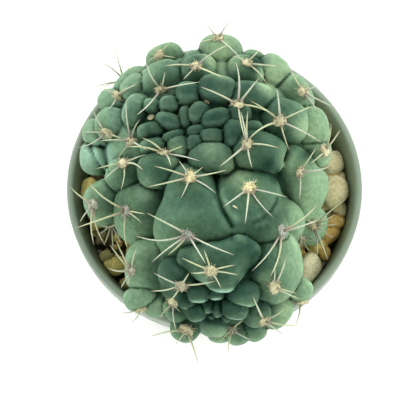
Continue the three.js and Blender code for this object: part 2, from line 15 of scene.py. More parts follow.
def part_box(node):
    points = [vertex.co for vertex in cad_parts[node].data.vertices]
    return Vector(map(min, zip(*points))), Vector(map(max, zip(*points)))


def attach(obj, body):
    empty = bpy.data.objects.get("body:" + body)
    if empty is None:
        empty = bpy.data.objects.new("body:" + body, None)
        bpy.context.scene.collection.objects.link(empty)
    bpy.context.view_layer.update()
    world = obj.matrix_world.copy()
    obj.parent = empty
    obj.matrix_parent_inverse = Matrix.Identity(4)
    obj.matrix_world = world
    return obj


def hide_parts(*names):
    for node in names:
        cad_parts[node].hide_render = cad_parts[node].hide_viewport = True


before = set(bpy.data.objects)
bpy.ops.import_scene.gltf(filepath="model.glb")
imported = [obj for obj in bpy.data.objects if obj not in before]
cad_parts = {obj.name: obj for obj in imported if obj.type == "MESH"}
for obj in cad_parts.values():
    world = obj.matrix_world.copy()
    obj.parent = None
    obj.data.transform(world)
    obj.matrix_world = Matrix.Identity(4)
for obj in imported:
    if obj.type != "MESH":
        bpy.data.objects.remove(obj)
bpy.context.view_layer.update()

MM = 0.001

# ---------------------------------------------------------------- driving sizes

POT_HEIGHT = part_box("pot")[1].z / MM
RIM_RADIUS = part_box("pot")[1].x / MM
RIM_WIDTH = 2.3
COLLAR_HEIGHT = 9.0
WALL = 1.4
BASE_RADIUS = 37.0
FLOOR = 2.8
FOOT_HEIGHT = 1.2
FOOT_WIDTH = 3.0
PAD_RADIUS = 13.0
LIP_ROUND = 0.9
DRAIN_RADIUS = 4.0
DRAIN_RING = 23.5
DRAINS = 6

SOIL_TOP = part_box("soil")[1].z / MM
GAP = 0.35

RIM_INSIDE = RIM_RADIUS - RIM_WIDTH
BASE_INSIDE = BASE_RADIUS - WALL


def inside_radius(height):
    """The pot's inner wall is a plain cone: its radius at a height."""
    return BASE_INSIDE + (RIM_INSIDE - BASE_INSIDE) * height / POT_HEIGHT


# ---------------------------------------------------------------- the viewing grid

# Places on the plant are read on a viewing grid: a pinhole over the pot that leans towards -Y.
GRID_SIZE = 400
VIEW_COLUMN, VIEW_ROW = 214.5, 183.5
CELL = 0.3547
LEAN = math.radians(17.5)
DISTANCE = 430.0

view_back = np.array([0.0, -math.sin(LEAN), math.cos(LEAN)])
view_right = np.array([1.0, 0.0, 0.0])
view_up = np.cross(view_back, view_right)
eye = np.array([0.0, 0.0, POT_HEIGHT]) + DISTANCE * view_back


def unit(vectors):
    return vectors / (np.linalg.norm(vectors, axis=-1, keepdims=True) + 1e-12)


def fade(values, start, end):
    """0 at the start and before it, 1 at the end and past it."""
    return np.clip((values - start) / (end - start), 0, 1)


def sight_lines(places):
    """Directions from the eye to places on the grid."""
    places = np.asarray(places, float)
    right = (places[..., 0:1] - VIEW_COLUMN) * CELL * view_right
    up = (VIEW_ROW - places[..., 1:2]) * CELL * view_up
    return unit(right + up - DISTANCE * view_back)


# ---------------------------------------------------------------- the plant's core and tubercles

NORTH_HEAD = {"centre": (-3.8, 7.4, POT_HEIGHT + 14), "half": (36, 36, 21.5), "lean": (-11, 0)}
SOUTH_HEAD = {"centre": (1.2, -35, POT_HEIGHT + 19), "half": (22, 22, 19), "lean": (0, 48)}
NECK = {"centre": (-3, 0, POT_HEIGHT - 6), "half": (32, 32, 21), "lean": (0, 0)}
HEAD_BLEND = 9.0
NECK_BLEND = 8.0
RIM_CLEAR = 1.4
RIM_BLEND = 5.0

FULLNESS = 2.6
SINK_SHARE = 0.2
SINK_BASE = 0.5
DEEPEST = 0.85  # how much of a tubercle's seen half size its leaning depth may fill
NARROWEST = 0.9  # the least share of its seen half size that is left for its own half size
LEAST_SHOWN = 0.8  # an axis that shows less than this is sized as if it showed this much
INFLUENCE = (1.5, 5.0)  # a tubercle matters as far as its half size times the first, plus the second
CREASE = 0.35
CORE_CREASE = 0.8
PRESS_DEPTH = 0.75
PRESS_WIDTH = 0.42
PRESS_OVER_CORE = 1.5  # no crease is pressed where the core is nearer than a tubercle by this
CUT_EDGE = 1.3
CUT_RISE = 10.0  # the height over the rim at which a crease of the table has its full depth
FAR = 50.0  # further than any distance that shapes the skin

# Tubercles: column, row, seen width, seen height, turn in degrees, rise over the core, and
# for some the height over the rim. Those of one group are grown together, with a soft valley.
RIDGE = [
    (193, 192, 16.5, 19, 0, 8.5),
    (193, 229, 22, 17, -4, 7.5),
    (212, 214, 13, 19, 24, 7.5),
    (250, 232, 22, 12, 4, 7.5),
    (247, 197, 20, 19.5, 0, 9),
    (277, 218, 10.5, 15, 10, 7, 20),
]
RIDGE_BLEND = 5.0
NORTH_CROWN = [
    (186, 118, 4.5, 7.5, 0, 3),
    (199, 115, 7, 8, -38, 4.5),
    (198, 132, 7, 4.5, 8, 3.5),
    (216, 121, 10.5, 7.5, 15, 5),
    (212, 138, 8.5, 6, 0, 5),
    (170, 123, 9.5, 6, -20, 4.5),
    (171, 107, 7, 6.5, 0, 5),
    (189, 97, 8.2, 9, 0, 5.5),
    (154, 108, 7, 5.5, -10, 4.5),
    (139, 113, 8.5, 11.5, -22, 6),
    (153, 132, 9.5, 6, 10, 5.5),
    (174, 138, 8, 4.5, 18, 4),
    (156, 147, 9.8, 6, 8, 5.5),
    (180, 148, 7.5, 8, 15, 5),
    (196, 145, 6, 6.5, 0, 5),
    (233, 136, 7.2, 10.5, 0, 5.5),
    (251, 131, 7.5, 6.5, 0, 4.5),
    (218, 93, 13.5, 10.5, -12, 6),
    (239, 116, 8, 8, 0, 4.5),
]
NORTH_ROWS = [
    (165, 82, 13.5, 11.5, 0, 5.5),
    (166, 61, 13, 8, 5, 4),
    (199, 73, 12, 10.5, 0, 5.5),
    (220, 58, 15.2, 14.5, 0, 5),
    (245, 75, 12.5, 11.5, 0, 5.5),
    (268, 76, 12, 15, 22, 5),
    (289, 99, 15.5, 10.5, -14, 5.5),
    (250, 101, 15.5, 9.5, -5, 6),
    (279, 125, 15.2, 14.5, 0, 6.5),
    (305, 130, 11.8, 14.5, 10, 5.5),
    (309, 152, 11.5, 8.5, 0, 5.5),
    (137, 91, 10.5, 11.5, 24, 5),
    (117, 105, 8.5, 11.5, 20, 5),
    (117, 127, 9.5, 10, 0, 5.5),
    (102, 134, 9, 11.5, 12, 4.5),
    (197, 60, 8.5, 7.5, 0, 4),
    (150, 76, 8, 7, 28, 3),
    (256, 64, 11, 8, -18, 4),
]
MIDDLE_RING = [
    (212, 161, 15, 11.5, 0, 7),
    (256, 154, 18.5, 14, -15, 7.5),
    (164, 171, 15.5, 12, 5, 7),
    (128, 176, 12.5, 12, 0, 6),
    (147, 212, 18.2, 20.5, 0, 6.5),
    (110, 202, 14, 20, 0, 5.5),
    (99, 157, 8.5, 12, 10, 4.5),
]
EAST_ARM = [
    (288, 165, 12, 12, -20, 6),
    (298, 190, 13, 16, -20, 6.5),
]
EAST_BLEND = 4.0
LOW_EAST = [
    (306, 224, 10, 11, 0, 5, -3),
]
BROW = [
    (218, 262, 17.5, 13, 0, 6),
    (240, 251, 12, 9, -28, 5.5),
    (196, 260, 11, 8, -14, 5),
    (222, 278, 9.5, 7.5, 0, 6),
]
BROW_BLEND = 3.0
SOUTH_ROWS = [
    (266, 266, 20, 20.5, 12, 6.5),
    (292, 287, 7.5, 9, 0, 5),
    (152, 268, 12.5, 16.5, 0, 6),
    (182, 272, 12, 9.5, 0, 5.5),
    (143, 296, 8, 10, 0, 4.5),
    (166, 295, 12, 8.5, 0, 6.5),
    (189, 320, 10, 8.5, 0, 5.5),
    (250, 321, 8.5, 8.5, 0, 5),
    (267, 304, 13, 12, 15, 6),
    (160, 302, 8.5, 6, 0, 4.5),
    (235, 322, 10, 9, 0, 5.5),
    (177, 307, 9, 7.5, 0, 5.5),
    (223, 331, 10, 5, 0, 4),
    (214, 323, 9, 8.6, 0, 7, 22),
    (255, 310, 8.5, 8.5, 0, 7, 25),
]
SOUTH_CROWN = [
    (200, 290, 7.5, 6.5, 0, 6),
    (191, 298, 7.5, 5.5, -8, 5.5),
    (216, 291, 5.5, 4.5, 0, 4.5),
    (198, 308, 6.8, 6, 10, 5.5, 28),
    (234, 305, 9, 7, -12, 5.5, 29.5),
    (217, 306, 4, 5.5, 20, 4.5),
    (208, 303, 3.6, 5, 0, 4.5),
    (225, 315, 4, 4, 0, 4.5),
    (212, 314, 3.4, 3.4, 0, 4),
    (241, 290, 11, 9.5, -10, 6.5),
]
SEEN_GROUPS = [(RIDGE, RIDGE_BLEND), (BROW, BROW_BLEND), (EAST_ARM, EAST_BLEND)] + [
    ([row], 0) for row in [*NORTH_ROWS, *MIDDLE_RING, *LOW_EAST, *SOUTH_ROWS]
]
CROWN_GROUPS = [([row], 0) for row in [*NORTH_CROWN, *SOUTH_CROWN]]
UPRIGHT = 1.2  # how far the crowded tubercles of a crown stand up out of the skin's own slope
SWELL = 1.07

# Creases that cross what is otherwise one smooth form: depth, width and places along each.
CREASES = [
    (2.0, 1.1, [(214, 174), (216, 183), (218, 197), (223, 211), (232, 226)]),
    (0.9, 1.0, [(277, 198), (275, 204), (271, 211), (263, 218), (253, 223)]),
    (0.4, 2.6, [(175, 206), (190, 208), (205, 208), (214, 206)]),
    (0.5, 1.0, [(233, 226), (232, 234), (232, 240)]),
    (1.0, 0.8, [(287, 153), (282, 163), (276, 171)]),
    (1.2, 0.8, [(89, 144), (95, 158), (104, 172)]),
    (1.0, 0.8, [(101, 145), (105, 158), (109, 172)]),
]

# Where the skin is paler (over 0) or darker (under 0), partly its own tone and partly painted light and
# shade on lit faces and in valleys: column, row, radius, tone.
TONES = [
    (220, 55, 17, 1.5),
    (271, 76, 17, 1.8),
    (307, 130, 13, 1.4),
    (309, 153, 10, -1.4),
    (256, 62, 10, -2.0),
    (197, 60, 8, -1.1),
    (199, 76, 12, -0.7),
    (245, 77, 12, -0.4),
    (250, 84, 8, -0.6),
    (250, 101, 14, -0.5),
    (289, 100, 12, -0.6),
    (280, 127, 14, -0.3),
    (282, 136, 8, -0.8),
    (150, 76, 10, 0.4),
    (117, 127, 11, 0.9),
    (117, 103, 11, 1.0),
    (137, 90, 11, 0.3),
    (166, 80, 10, -0.4),
    (98, 155, 14, 2.2),
    (102, 134, 8, -0.4),
    (218, 92, 12, 0.1),
    (184, 110, 17, 0.15),
    (212, 138, 9, 0.15),
    (216, 121, 9, -0.5),
    (153, 130, 12, -1.4),
    (155, 147, 10, -0.6),
    (180, 148, 8, 0.2),
    (250, 131, 12, -0.9),
    (234, 136, 8, -0.2),
    (211, 152, 12, 0.5),
    (174, 159, 11, 1.2),
    (288, 163, 10, 0.8),
    (268, 164, 9, -1.2),
    (276, 178, 8, -1.2),
    (288, 196, 7, -0.9),
    (236, 172, 13, 1.1),
    (195, 197, 15, -0.8),
    (193, 217, 15, 0.2),
    (195, 228, 18, -0.5),
    (228, 206, 14, -0.6),
    (258, 226, 21, -1.1),
    (280, 216, 12, -0.7),
    (148, 190, 14, 1.2),
    (164, 171, 16, -0.9),
    (128, 176, 14, -0.8),
    (148, 212, 20, -0.7),
    (110, 202, 17, -0.9),
    (152, 264, 14, -0.8),
    (152, 284, 9, -0.8),
    (182, 272, 15, -1.4),
    (143, 294, 12, 0.8),
    (166, 293, 10, -0.9),
    (160, 304, 8, 1.3),
    (177, 307, 10, -0.9),
    (189, 319, 12, -0.8),
    (214, 322, 10, -0.2),
    (235, 320, 10, -0.6),
    (250, 322, 8, -0.4),
    (196, 259, 10, 0.6),
    (218, 262, 12, -0.2),
    (245, 252, 12, -0.6),
    (262, 250, 6, -0.8),
    (256, 260, 7, -1.2),
    (249, 271, 7, -1.2),
    (238, 284, 6, -0.8),
    (286, 262, 12, 0.4),
    (262, 279, 8, 0.4),
    (266, 304, 10, -0.7),
    (284, 310, 12, 1.0),
    (222, 340, 10, 0.9),
    (191, 299, 8, -0.6),
    (216, 291, 7, -0.9),
    (255, 311, 7, 0.4),
    (208, 303, 5, -1.2),
    (200, 309, 7, 0.2),
    (212, 315, 5, -0.6),
    (225, 315, 5, -0.6),
    (240, 290, 12, -0.1),
]

# Rings of tubercles on the flanks below: angle from the head's axis, how many, width, height, rise.
FLANK_RINGS = [
    (NORTH_HEAD, [(92, 16, 17, 18, 5.5), (114, 15, 17, 17, 5.5), (136, 14, 15, 15, 4.5)]),
    (SOUTH_HEAD, [(98, 11, 14, 15, 4.5), (124, 9, 14, 14, 4.5)]),
    ({**NECK, "centre": (-3, 0, POT_HEIGHT + 4)}, [(112, 15, 15, 14, 4.5)]),
]
FLANK_LOWEST = POT_HEIGHT - 3
FLANK_HIGHEST = POT_HEIGHT + 11
FLANK_SPACING = 0.62
FLANK_WIDEST = 10.0
FLANK_FACING = 0.6
FLANK_START = 75.0

# Areoles: where each sits, where the tips of its spines are and, for some, the age of its wool.
AREOLES = [
    ((159, 55), [(150, 44), (172, 42), (148, 62), (176, 58)]),
    ((117, 96), [(128, 86), (137, 84), (104, 88), (108, 110)]),
    ((161, 90), [(146, 62), (200, 82), (137, 115), (165, 72)]),
    ((196, 66), [(165, 66), (183, 80), (225, 78), (230, 44)]),
    ((218, 38), [(202, 20), (236, 18), (241, 59), (196, 44)]),
    ((107, 133), [(82, 132), (93, 110), (78, 148), (122, 138)]),
    ((131, 141), [(126, 101), (140, 119), (118, 158), (147, 150), (100, 141)]),
    ((165, 153), [(142, 138), (183, 146), (200, 161), (171, 166), (125, 147)]),
    ((124, 163), [(96, 169), (104, 180), (121, 190), (143, 170), (148, 154)]),
    ((190, 177), [(154, 166), (148, 187), (179, 161), (203, 167), (227, 170), (216, 193), (181, 198)], 0.1),
    ((247, 63), [(267, 84), (280, 66), (232, 56), (262, 48)]),
    ((238, 104), [(201, 87), (236, 62), (259, 78), (275, 115), (245, 140)]),
    ((280, 121), [(277, 89), (313, 106), (322, 143), (248, 140), (289, 150), (251, 101)]),
    ((303, 92), [(289, 68), (335, 108), (320, 85), (318, 112)]),
    ((247, 144), [(219, 167), (252, 168), (241, 112), (248, 111), (279, 148)]),
    ((300, 172), [(299, 200), (331, 166), (316, 148)]),
    ((325, 151), [(310, 164), (340, 130), (331, 124)]),
    ((249, 188), [(223, 207), (245, 224), (273, 217), (287, 197), (257, 179)], 0.0),
    ((188, 235), [(147, 213), (136, 236), (152, 262), (168, 255), (234, 255), (206, 264)], 1.0),
    ((126, 211), [(88, 182), (145, 214), (142, 223), (76, 228), (128, 250)], 0.9),
    ((93, 205), [(70, 187), (80, 222), (94, 245), (105, 245)], 0.9),
    ((131, 271), [(110, 245), (116, 240), (137, 247), (108, 268), (121, 288), (128, 285)], 0.7),
    ((181, 286), [(154, 273), (151, 291), (189, 273), (216, 281), (168, 303)], 0.6),
    ((211, 271), [(182, 258), (191, 273), (204, 250), (235, 265), (238, 275), (221, 288)]),
    ((282, 232), [(252, 271), (270, 277), (318, 204), (320, 219)], 1.0),
    ((274, 287), [(275, 268), (286, 257), (300, 299), (296, 293)]),
    ((173, 303), [(167, 312), (180, 312), (176, 330), (160, 318)]),
    ((142, 309), [(122, 313), (132, 322)]),
    ((187, 330), [(152, 336), (198, 362), (176, 344)]),
    ((232, 329), [(243, 320), (222, 340), (228, 352), (252, 340)], 0.8),
    ((264, 321), [(253, 297), (286, 308), (297, 325), (282, 334)]),
    ((301, 302), [(296, 324), (322, 269)]),
    (
        (314, 226),
        [(335, 214), (338, 224), (328, 260), (308, 205), (300, 214), (317, 257), (346, 199), (333, 238)],
    ),
    ((301, 238), [(289, 246), (297, 256), (310, 252), (318, 241)]),
    ((112, 225), [(98, 235), (104, 245), (113, 249), (121, 243), (99, 223)]),
]
AREOLE_AGE = 0.35  # 0 is fresh yellow wool, 1 is weathered grey
# Pale flecks on the skin, young areoles and a scar: column, row, length, width and turn in degrees.
FLECKS = [(207, 102, 2.6, 1.5, -60), (151, 117, 2.6, 2.2, 0), (235, 207, 2.0, 0.6, -50)]
FLECK_AGE = 0.25
FLECK_HEIGHT = 0.35
FLANK_AGE = 0.7
FLANK_SPINES = (6, 8, 13, math.radians(32))  # how many, shortest, longest, angle over the skin
SPINE_LIFT = 0.2  # how far a tip is brought towards the eye, as a share of its spine's length
SPINE_CLEAR = 1.2  # the room that spines keep from the pot
SPINE_FLOAT = 0.3  # how far over the skin a tip stays
SPINE_BARE = 0.3  # the share of a spine, next to its areole, that may touch the skin
AREOLE_RADIUS = 1.9


# ---------------------------------------------------------------- the plant's form

def superellipsoid(local, half, fullness):
    """Distance from local points to a superellipsoid, measured along the ray from its middle."""
    length = np.linalg.norm(local, axis=-1) + 1e-9
    share = (np.abs(local / half) ** fullness).sum(-1)
    return length * (1 - 1 / (share ** (1 / fullness) + 1e-9))


def smooth_union(a, b, radius):
    h = np.clip(0.5 + 0.5 * (b - a) / radius, 0, 1)
    return b * (1 - h) + a * h - radius * h * (1 - h)


def axes_from(normal, along):
    """Three axes at right angles: the last is the normal, the first is as near `along` as it can be."""
    third = unit(normal)
    first = unit(along - third * (along @ third))
    return np.array([first, np.cross(third, first), third])


def lobe(head):
    to_x, to_y = np.radians(head["lean"])
    axis = np.array([math.sin(to_x), -math.sin(to_y), math.cos(to_x) * math.cos(to_y)])
    return np.array(head["centre"], float), np.array(head["half"], float), axes_from(axis, view_right)


north_lobe, south_lobe, neck_lobe = (lobe(head) for head in (NORTH_HEAD, SOUTH_HEAD, NECK))


def lobe_distance(points, body):
    centre, half, axes = body
    return superellipsoid((points - centre) @ axes.T, half, 2)


def core_distance(points):
    heads = smooth_union(lobe_distance(points, north_lobe), lobe_distance(points, south_lobe), HEAD_BLEND)
    return smooth_union(heads, lobe_distance(points, neck_lobe), NECK_BLEND)


def rim_room(points):
    """Positive where the plant can't be: beside the pot's inner wall and beyond it, under its top."""
    height = np.minimum(points[..., 2], POT_HEIGHT)
    beyond_wall = np.hypot(points[..., 0], points[..., 1]) - inside_radius(height) + RIM_CLEAR
    return np.minimum(beyond_wall, POT_HEIGHT + RIM_CLEAR - points[..., 2])


def slope(distance, points, step=0.05):
    """How fast a distance grows along each axis."""
    columns = []
    for axis in range(3):
        offset = np.zeros(3)
        offset[axis] = step
        columns.append(distance(points + offset) - distance(points - offset))
    return np.stack(columns, -1) / (2 * step)


STRIDE = 0.7
MISS = 0.3


def meet(distance, origins, directions, start, end, level=0.0, steps=120):
    """Follows lines from outside until they meet the surface; not a number where one passes by."""
    travelled = np.full(len(directions), float(start))
    for _ in range(steps):
        left = distance(origins + directions * travelled[:, None]) - level
        travelled = travelled + left * STRIDE
    points = origins + directions * travelled[:, None]
    missed = (travelled > end) | (np.abs(distance(points) - level) > MISS)
    points[missed] = np.nan
    return points


SIGHT_START = DISTANCE - 80
SIGHT_END = DISTANCE + 60
SIGHT_STEP = 0.25


def nearest_on_sight(direction):
    travelled = np.arange(SIGHT_START, SIGHT_END, SIGHT_STEP)
    points = eye + direction * travelled[:, None]
    return points[core_distance(points).argmin()]


def tubercle(centre, half, axes):
    return {
        "centre": centre,
        "half": np.array(half) * (SWELL, SWELL, 1),
        "axes": axes,
        "reach": max(half) * INFLUENCE[0] + INFLUENCE[1],
    }


def sink_of(width, height):
    """How deep a tubercle's middle lies in the core."""
    return SINK_SHARE * min(width, height) + SINK_BASE


def seen_tubercle(column, row, width, height, turn, rise, over=None, upright=0.0):
    """A tubercle on its line of sight, sized so that it shows its width and height from the eye."""
    sight = sight_lines([[column, row]])[0]
    sink = sink_of(width, height)
    centre = meet(core_distance, eye, sight[None], SIGHT_START, SIGHT_END, -sink)[0]
    if np.isnan(centre[0]):
        centre = nearest_on_sight(sight)
    if over is not None:
        centre = eye + sight * (POT_HEIGHT + over - eye[2]) / sight[2]
    normal = unit(unit(slope(core_distance, centre[None]))[0] + upright * view_back)
    angle = math.radians(turn)
    axes = axes_from(normal, view_right * math.cos(angle) + view_up * math.sin(angle))
    depth = rise + sink
    seen = []
    for half, axis in ((width / 2, axes[0]), (height / 2, axes[1])):
        flat = axis - sight * (axis @ sight)
        shown = np.linalg.norm(flat)
        lean = abs(normal @ unit(flat))
        depth = min(depth, DEEPEST * half / max(lean, 1e-6))
        seen.append((half, shown, lean))
    across, down = (
        math.sqrt(max(half**2 - (depth * lean) ** 2, (NARROWEST * half) ** 2)) / max(shown, LEAST_SHOWN)
        for half, shown, lean in seen
    )
    return tubercle(centre, [across, down, depth], axes)


def flank_places():
    """Staggered rings of directions round each axis, with the size of the tubercles there."""
    for head, rings in FLANK_RINGS:
        middle, _, head_axes = lobe(head)
        for ring, (polar, count, *size) in enumerate(rings):
            from_axis = math.radians(polar)
            for i in range(count):
                around = 2 * math.pi * (i + 0.5 * (ring % 2)) / count
                local = [math.cos(around) * math.sin(from_axis), math.sin(around) * math.sin(from_axis)]
                direction = np.array([*local, math.cos(from_axis)]) @ head_axes
                yield middle, head_axes[2], direction, size


def crowds(centre, width, other):
    apart = FLANK_SPACING * (min(max(other["half"][:2]), FLANK_WIDEST) + width / 2)
    return np.linalg.norm(centre - other["centre"]) < apart


def flank_tubercles(standing):
    """Tubercles on the flanks, left out where one already stands."""
    added = []
    for middle, axis, direction, (width, height, rise) in flank_places():
        surface = meet(core_distance, middle + direction * FLANK_START, -direction[None], 0, FLANK_START)[0]
        normal = unit(slope(core_distance, surface[None]))[0]
        sink = sink_of(width, height)
        centre = surface - normal * sink
        if not FLANK_LOWEST <= centre[2] <= FLANK_HIGHEST or normal @ direction < FLANK_FACING:
            continue
        if any(crowds(centre, width, other) for other in [*standing, *added]):
            continue
        axes = axes_from(normal, np.cross(axis, normal))
        added.append(tubercle(centre, [width / 2, height / 2, rise + sink], axes))
    return added


seen_groups = [
    ([seen_tubercle(*row, upright=upright) for row in rows], blend)
    for table, upright in ((SEEN_GROUPS, 0.0), (CROWN_GROUPS, UPRIGHT))
    for rows, blend in table
]
seen_tubercles = [one for group, _ in seen_groups for one in group]
flank_ones = flank_tubercles(seen_tubercles)
groups = [*seen_groups, *(([one], 0) for one in flank_ones)]


def tubercle_distance(points, one):
    return superellipsoid((points - one["centre"]) @ one["axes"].T, one["half"], FULLNESS)


def group_distance(points, group, blend):
    distance = tubercle_distance(points, group[0])
    for one in group[1:]:
        distance = smooth_union(distance, tubercle_distance(points, one), blend)
    return distance


def on_grid(points):
    """The column and row that points are seen at."""
    from_eye = points - eye
    along = from_eye @ -view_back
    column = VIEW_COLUMN + (from_eye @ view_right) / along * DISTANCE / CELL
    row = VIEW_ROW - (from_eye @ view_up) / along * DISTANCE / CELL
    return column, row


def crease_cuts(points):
    """How far the creases of the table push the skin in, on the side that faces the viewing grid."""
    column, row = on_grid(points)
    cuts = np.zeros(points.shape[:-1])
    for depth, width, places in CREASES:
        places = np.array(places, float)
        nearest = np.full(points.shape[:-1], FAR)
        for a, b in zip(places, places[1:]):
            run = b - a
            share = ((column - a[0]) * run[0] + (row - a[1]) * run[1]) / (run @ run)
            share = np.clip(share, 0, 1)
            apart = np.hypot(column - a[0] - share * run[0], row - a[1] - share * run[1]) * CELL
            nearest = np.minimum(nearest, apart)
        cuts = np.maximum(cuts, depth * np.exp(-((nearest / width) ** CUT_EDGE)))
    return cuts * np.clip((points[..., 2] - POT_HEIGHT) / CUT_RISE, 0, 1)


def skin_distance(points, first, second):
    """The whole body from the distances to the nearest tubercle and the next nearest."""
    core = core_distance(points)
    press = PRESS_DEPTH * np.exp(-np.clip(second - first, 0, FAR) / PRESS_WIDTH)
    grown = smooth_union(core, first, CORE_CREASE) + press * np.clip(PRESS_OVER_CORE - (first - core), 0, 1)
    return -smooth_union(-(grown + crease_cuts(points)), -rim_room(points), RIM_BLEND)


def grow(first, second, points, block, group, blend):
    """Takes a group into the nearest and the next nearest distances, in one block of the points."""
    here = group_distance(points[block], group, blend)
    second[block] = np.minimum(second[block], np.maximum(first[block], here))
    first[block] = smooth_union(first[block], here, CREASE)


def body_distance(points):
    first = np.full(points.shape[:-1], FAR)
    second = first.copy()
    for group, blend in groups:
        near = np.zeros(points.shape[:-1], bool)
        for one in group:
            near |= np.linalg.norm(points - one["centre"], axis=-1) < one["reach"] + blend
        if near.any():
            grow(first, second, points, near, group, blend)
    return skin_distance(points, first, second)


def body_grid(low, shape, step):
    """body_distance on a grid, each group worked out only in the block that it reaches."""
    ticks = [low[i] + step * np.arange(shape[i]) for i in range(3)]
    points = np.stack(np.meshgrid(*ticks, indexing="ij"), -1)
    first = np.full(shape, FAR)
    second = first.copy()
    for group, blend in groups:
        lows = np.min([one["centre"] - one["reach"] - blend for one in group], axis=0)
        highs = np.max([one["centre"] + one["reach"] + blend for one in group], axis=0)
        begins = np.clip(np.floor((lows - low) / step), 0, shape).astype(int)
        ends = np.clip(np.ceil((highs - low) / step) + 1, 0, shape).astype(int)
        block = tuple(slice(a, b) for a, b in zip(begins, ends))
        if first[block].size:
            grow(first, second, points, block, group, blend)
    return skin_distance(points, first, second)


def surface_net(field, low, step):
    """Vertices and four-sided faces of the surface where the field changes sign."""
    inside = field < 0
    shape = np.array(field.shape) - 1
    corners = np.array(list(itertools.product((0, 1), repeat=3)))
    count = sum(
        inside[i : i + shape[0], j : j + shape[1], k : k + shape[2]].astype(np.int8) for i, j, k in corners
    )
    cells = np.argwhere((count > 0) & (count < 8))
    total = np.zeros((len(cells), 3))
    crossings = np.zeros(len(cells))
    for axis in range(3):
        for corner in corners[corners[:, axis] == 0]:
            here = cells + corner
            there = here.copy()
            there[:, axis] += 1
            a = field[tuple(here.T)]
            b = field[tuple(there.T)]
            crosses = (a < 0) != (b < 0)
            share = np.where(crosses, a / np.where(crosses, a - b, 1), 0)
            place = here.astype(float)
            place[:, axis] += share
            total += place * crosses[:, None]
            crossings += crosses
    vertices = low + step * total / crossings[:, None]
    number = np.full(shape, -1)
    number[tuple(cells.T)] = np.arange(len(cells))
    faces = []
    for axis in range(3):
        first, second = (axis + 1) % 3, (axis + 2) % 3
        ahead = np.diff(inside.astype(np.int8), axis=axis)
        edges = np.argwhere(ahead != 0)
        edges = edges[(edges[:, first] > 0) & (edges[:, second] > 0)]
        edges = edges[(edges[:, first] < shape[first]) & (edges[:, second] < shape[second])]
        rising = ahead[tuple(edges.T)] > 0
        ring = []
        for back_first, back_second in ((0, 0), (1, 0), (1, 1), (0, 1)):
            cell = edges.copy()
            cell[:, first] -= back_first
            cell[:, second] -= back_second
            ring.append(number[tuple(cell.T)])
        ring = np.stack(ring, 1)
        ring[rising] = ring[rising][:, ::-1]
        faces.append(ring)
    return vertices, np.concatenate(faces)


# ---------------------------------------------------------------- making meshes

def build(name, vertices, faces, attributes=None):
    """A smooth mesh object from points in millimetres and faces as an array or a list."""
    mesh = bpy.data.meshes.new(name)
    mesh.from_pydata((np.asarray(vertices) * MM).tolist(), [], [list(map(int, face)) for face in faces])
    mesh.update()
    mesh.polygons.foreach_set("use_smooth", [True] * len(mesh.polygons))
    for key, values in (attributes or {}).items():
        values = np.asarray(values, np.float32)
        if values.ndim == 1:
            mesh.attributes.new(key, "FLOAT", "POINT").data.foreach_set("value", values)
        else:
            colours = np.concatenate([values, np.ones((len(values), 1), np.float32)], 1)
            mesh.attributes.new(key, "FLOAT_COLOR", "POINT").data.foreach_set("color", colours.ravel())
    obj = bpy.data.objects.new(name, mesh)
    bpy.context.scene.collection.objects.link(obj)
    return obj


class Heap:
    """Closed forms gathered for one mesh, with marks that hold a value or colour for each vertex."""

    def __init__(self):
        self.vertices = []
        self.faces = []
        self.marks = {}
        self.total = 0

    def add(self, vertices, faces, **marks):
        self.vertices.append(vertices)
        self.faces.extend([i + self.total for i in face] for face in faces)
        self.total += len(vertices)
        for key, values in marks.items():
            self.marks.setdefault(key, []).append(values)

    def build(self, name):
        marks = {key: np.concatenate(parts) for key, parts in self.marks.items()}
        return build(name, np.concatenate(self.vertices), self.faces, marks)


def dress(obj, node, material):
    """The piece stands in for a CAD node, which it hides; it hangs from the root body and takes the given
    material.
    """
    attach(obj, "root")
    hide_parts(node)
    obj.data.materials.clear()
    obj.data.materials.append(material)
    return obj


def turned(profile, sides):
    """Turns a closed profile of (radius, height) points round the Z axis; radius 0 only at its ends."""
    angles = np.linspace(0, 2 * np.pi, sides, endpoint=False)
    vertices, rings = [], []
    for radius, height in profile:
        if radius < 1e-6:
            rings.append([len(vertices)] * sides)
            vertices.append((0, 0, height))
        else:
            rings.append(list(range(len(vertices), len(vertices) + sides)))
            vertices.extend((radius * math.cos(a), radius * math.sin(a), height) for a in angles)
    faces = []
    for low, high in zip(rings, rings[1:]):
        for i in range(sides):
            j = (i + 1) % sides
            faces.append(list(dict.fromkeys([low[i], low[j], high[j], high[i]])))
    return np.array(vertices, float), faces


def tubes(paths, radii, sides):
    """Closed round needles: paths (n, rings, 3), radii (n, rings). Also gives each vertex's share along."""
    n, rings, _ = paths.shape
    along = unit(np.gradient(paths, axis=1))
    helper = np.where(np.abs(along[:, :1, 2:3]) < 0.9, [[[0.0, 0.0, 1.0]]], [[[1.0, 0.0, 0.0]]])
    first = unit(np.cross(along, np.broadcast_to(helper, along.shape)))[:, :, None]
    second = np.cross(along, first[:, :, 0])[:, :, None]
    angles = np.linspace(0, 2 * np.pi, sides, endpoint=False)[:, None]
    offsets = (first * np.cos(angles) + second * np.sin(angles)) * radii[:, :, None, None]
    vertices = (paths[:, :, None] + offsets).reshape(-1, 3)
    base = np.arange(n) * rings * sides
    faces = []
    for r in range(rings - 1):
        for s in range(sides):
            t = (s + 1) % sides
            quad = np.array([r * sides + s, r * sides + t, (r + 1) * sides + t, (r + 1) * sides + s])
            faces.extend((base[:, None] + quad).tolist())
    last = (rings - 1) * sides
    faces.extend((base[:, None] + np.arange(sides)[::-1]).tolist())
    faces.extend((base[:, None] + last + np.arange(sides)).tolist())
    share = np.tile(np.repeat(np.linspace(0, 1, rings), sides), n)
    return vertices, faces, share


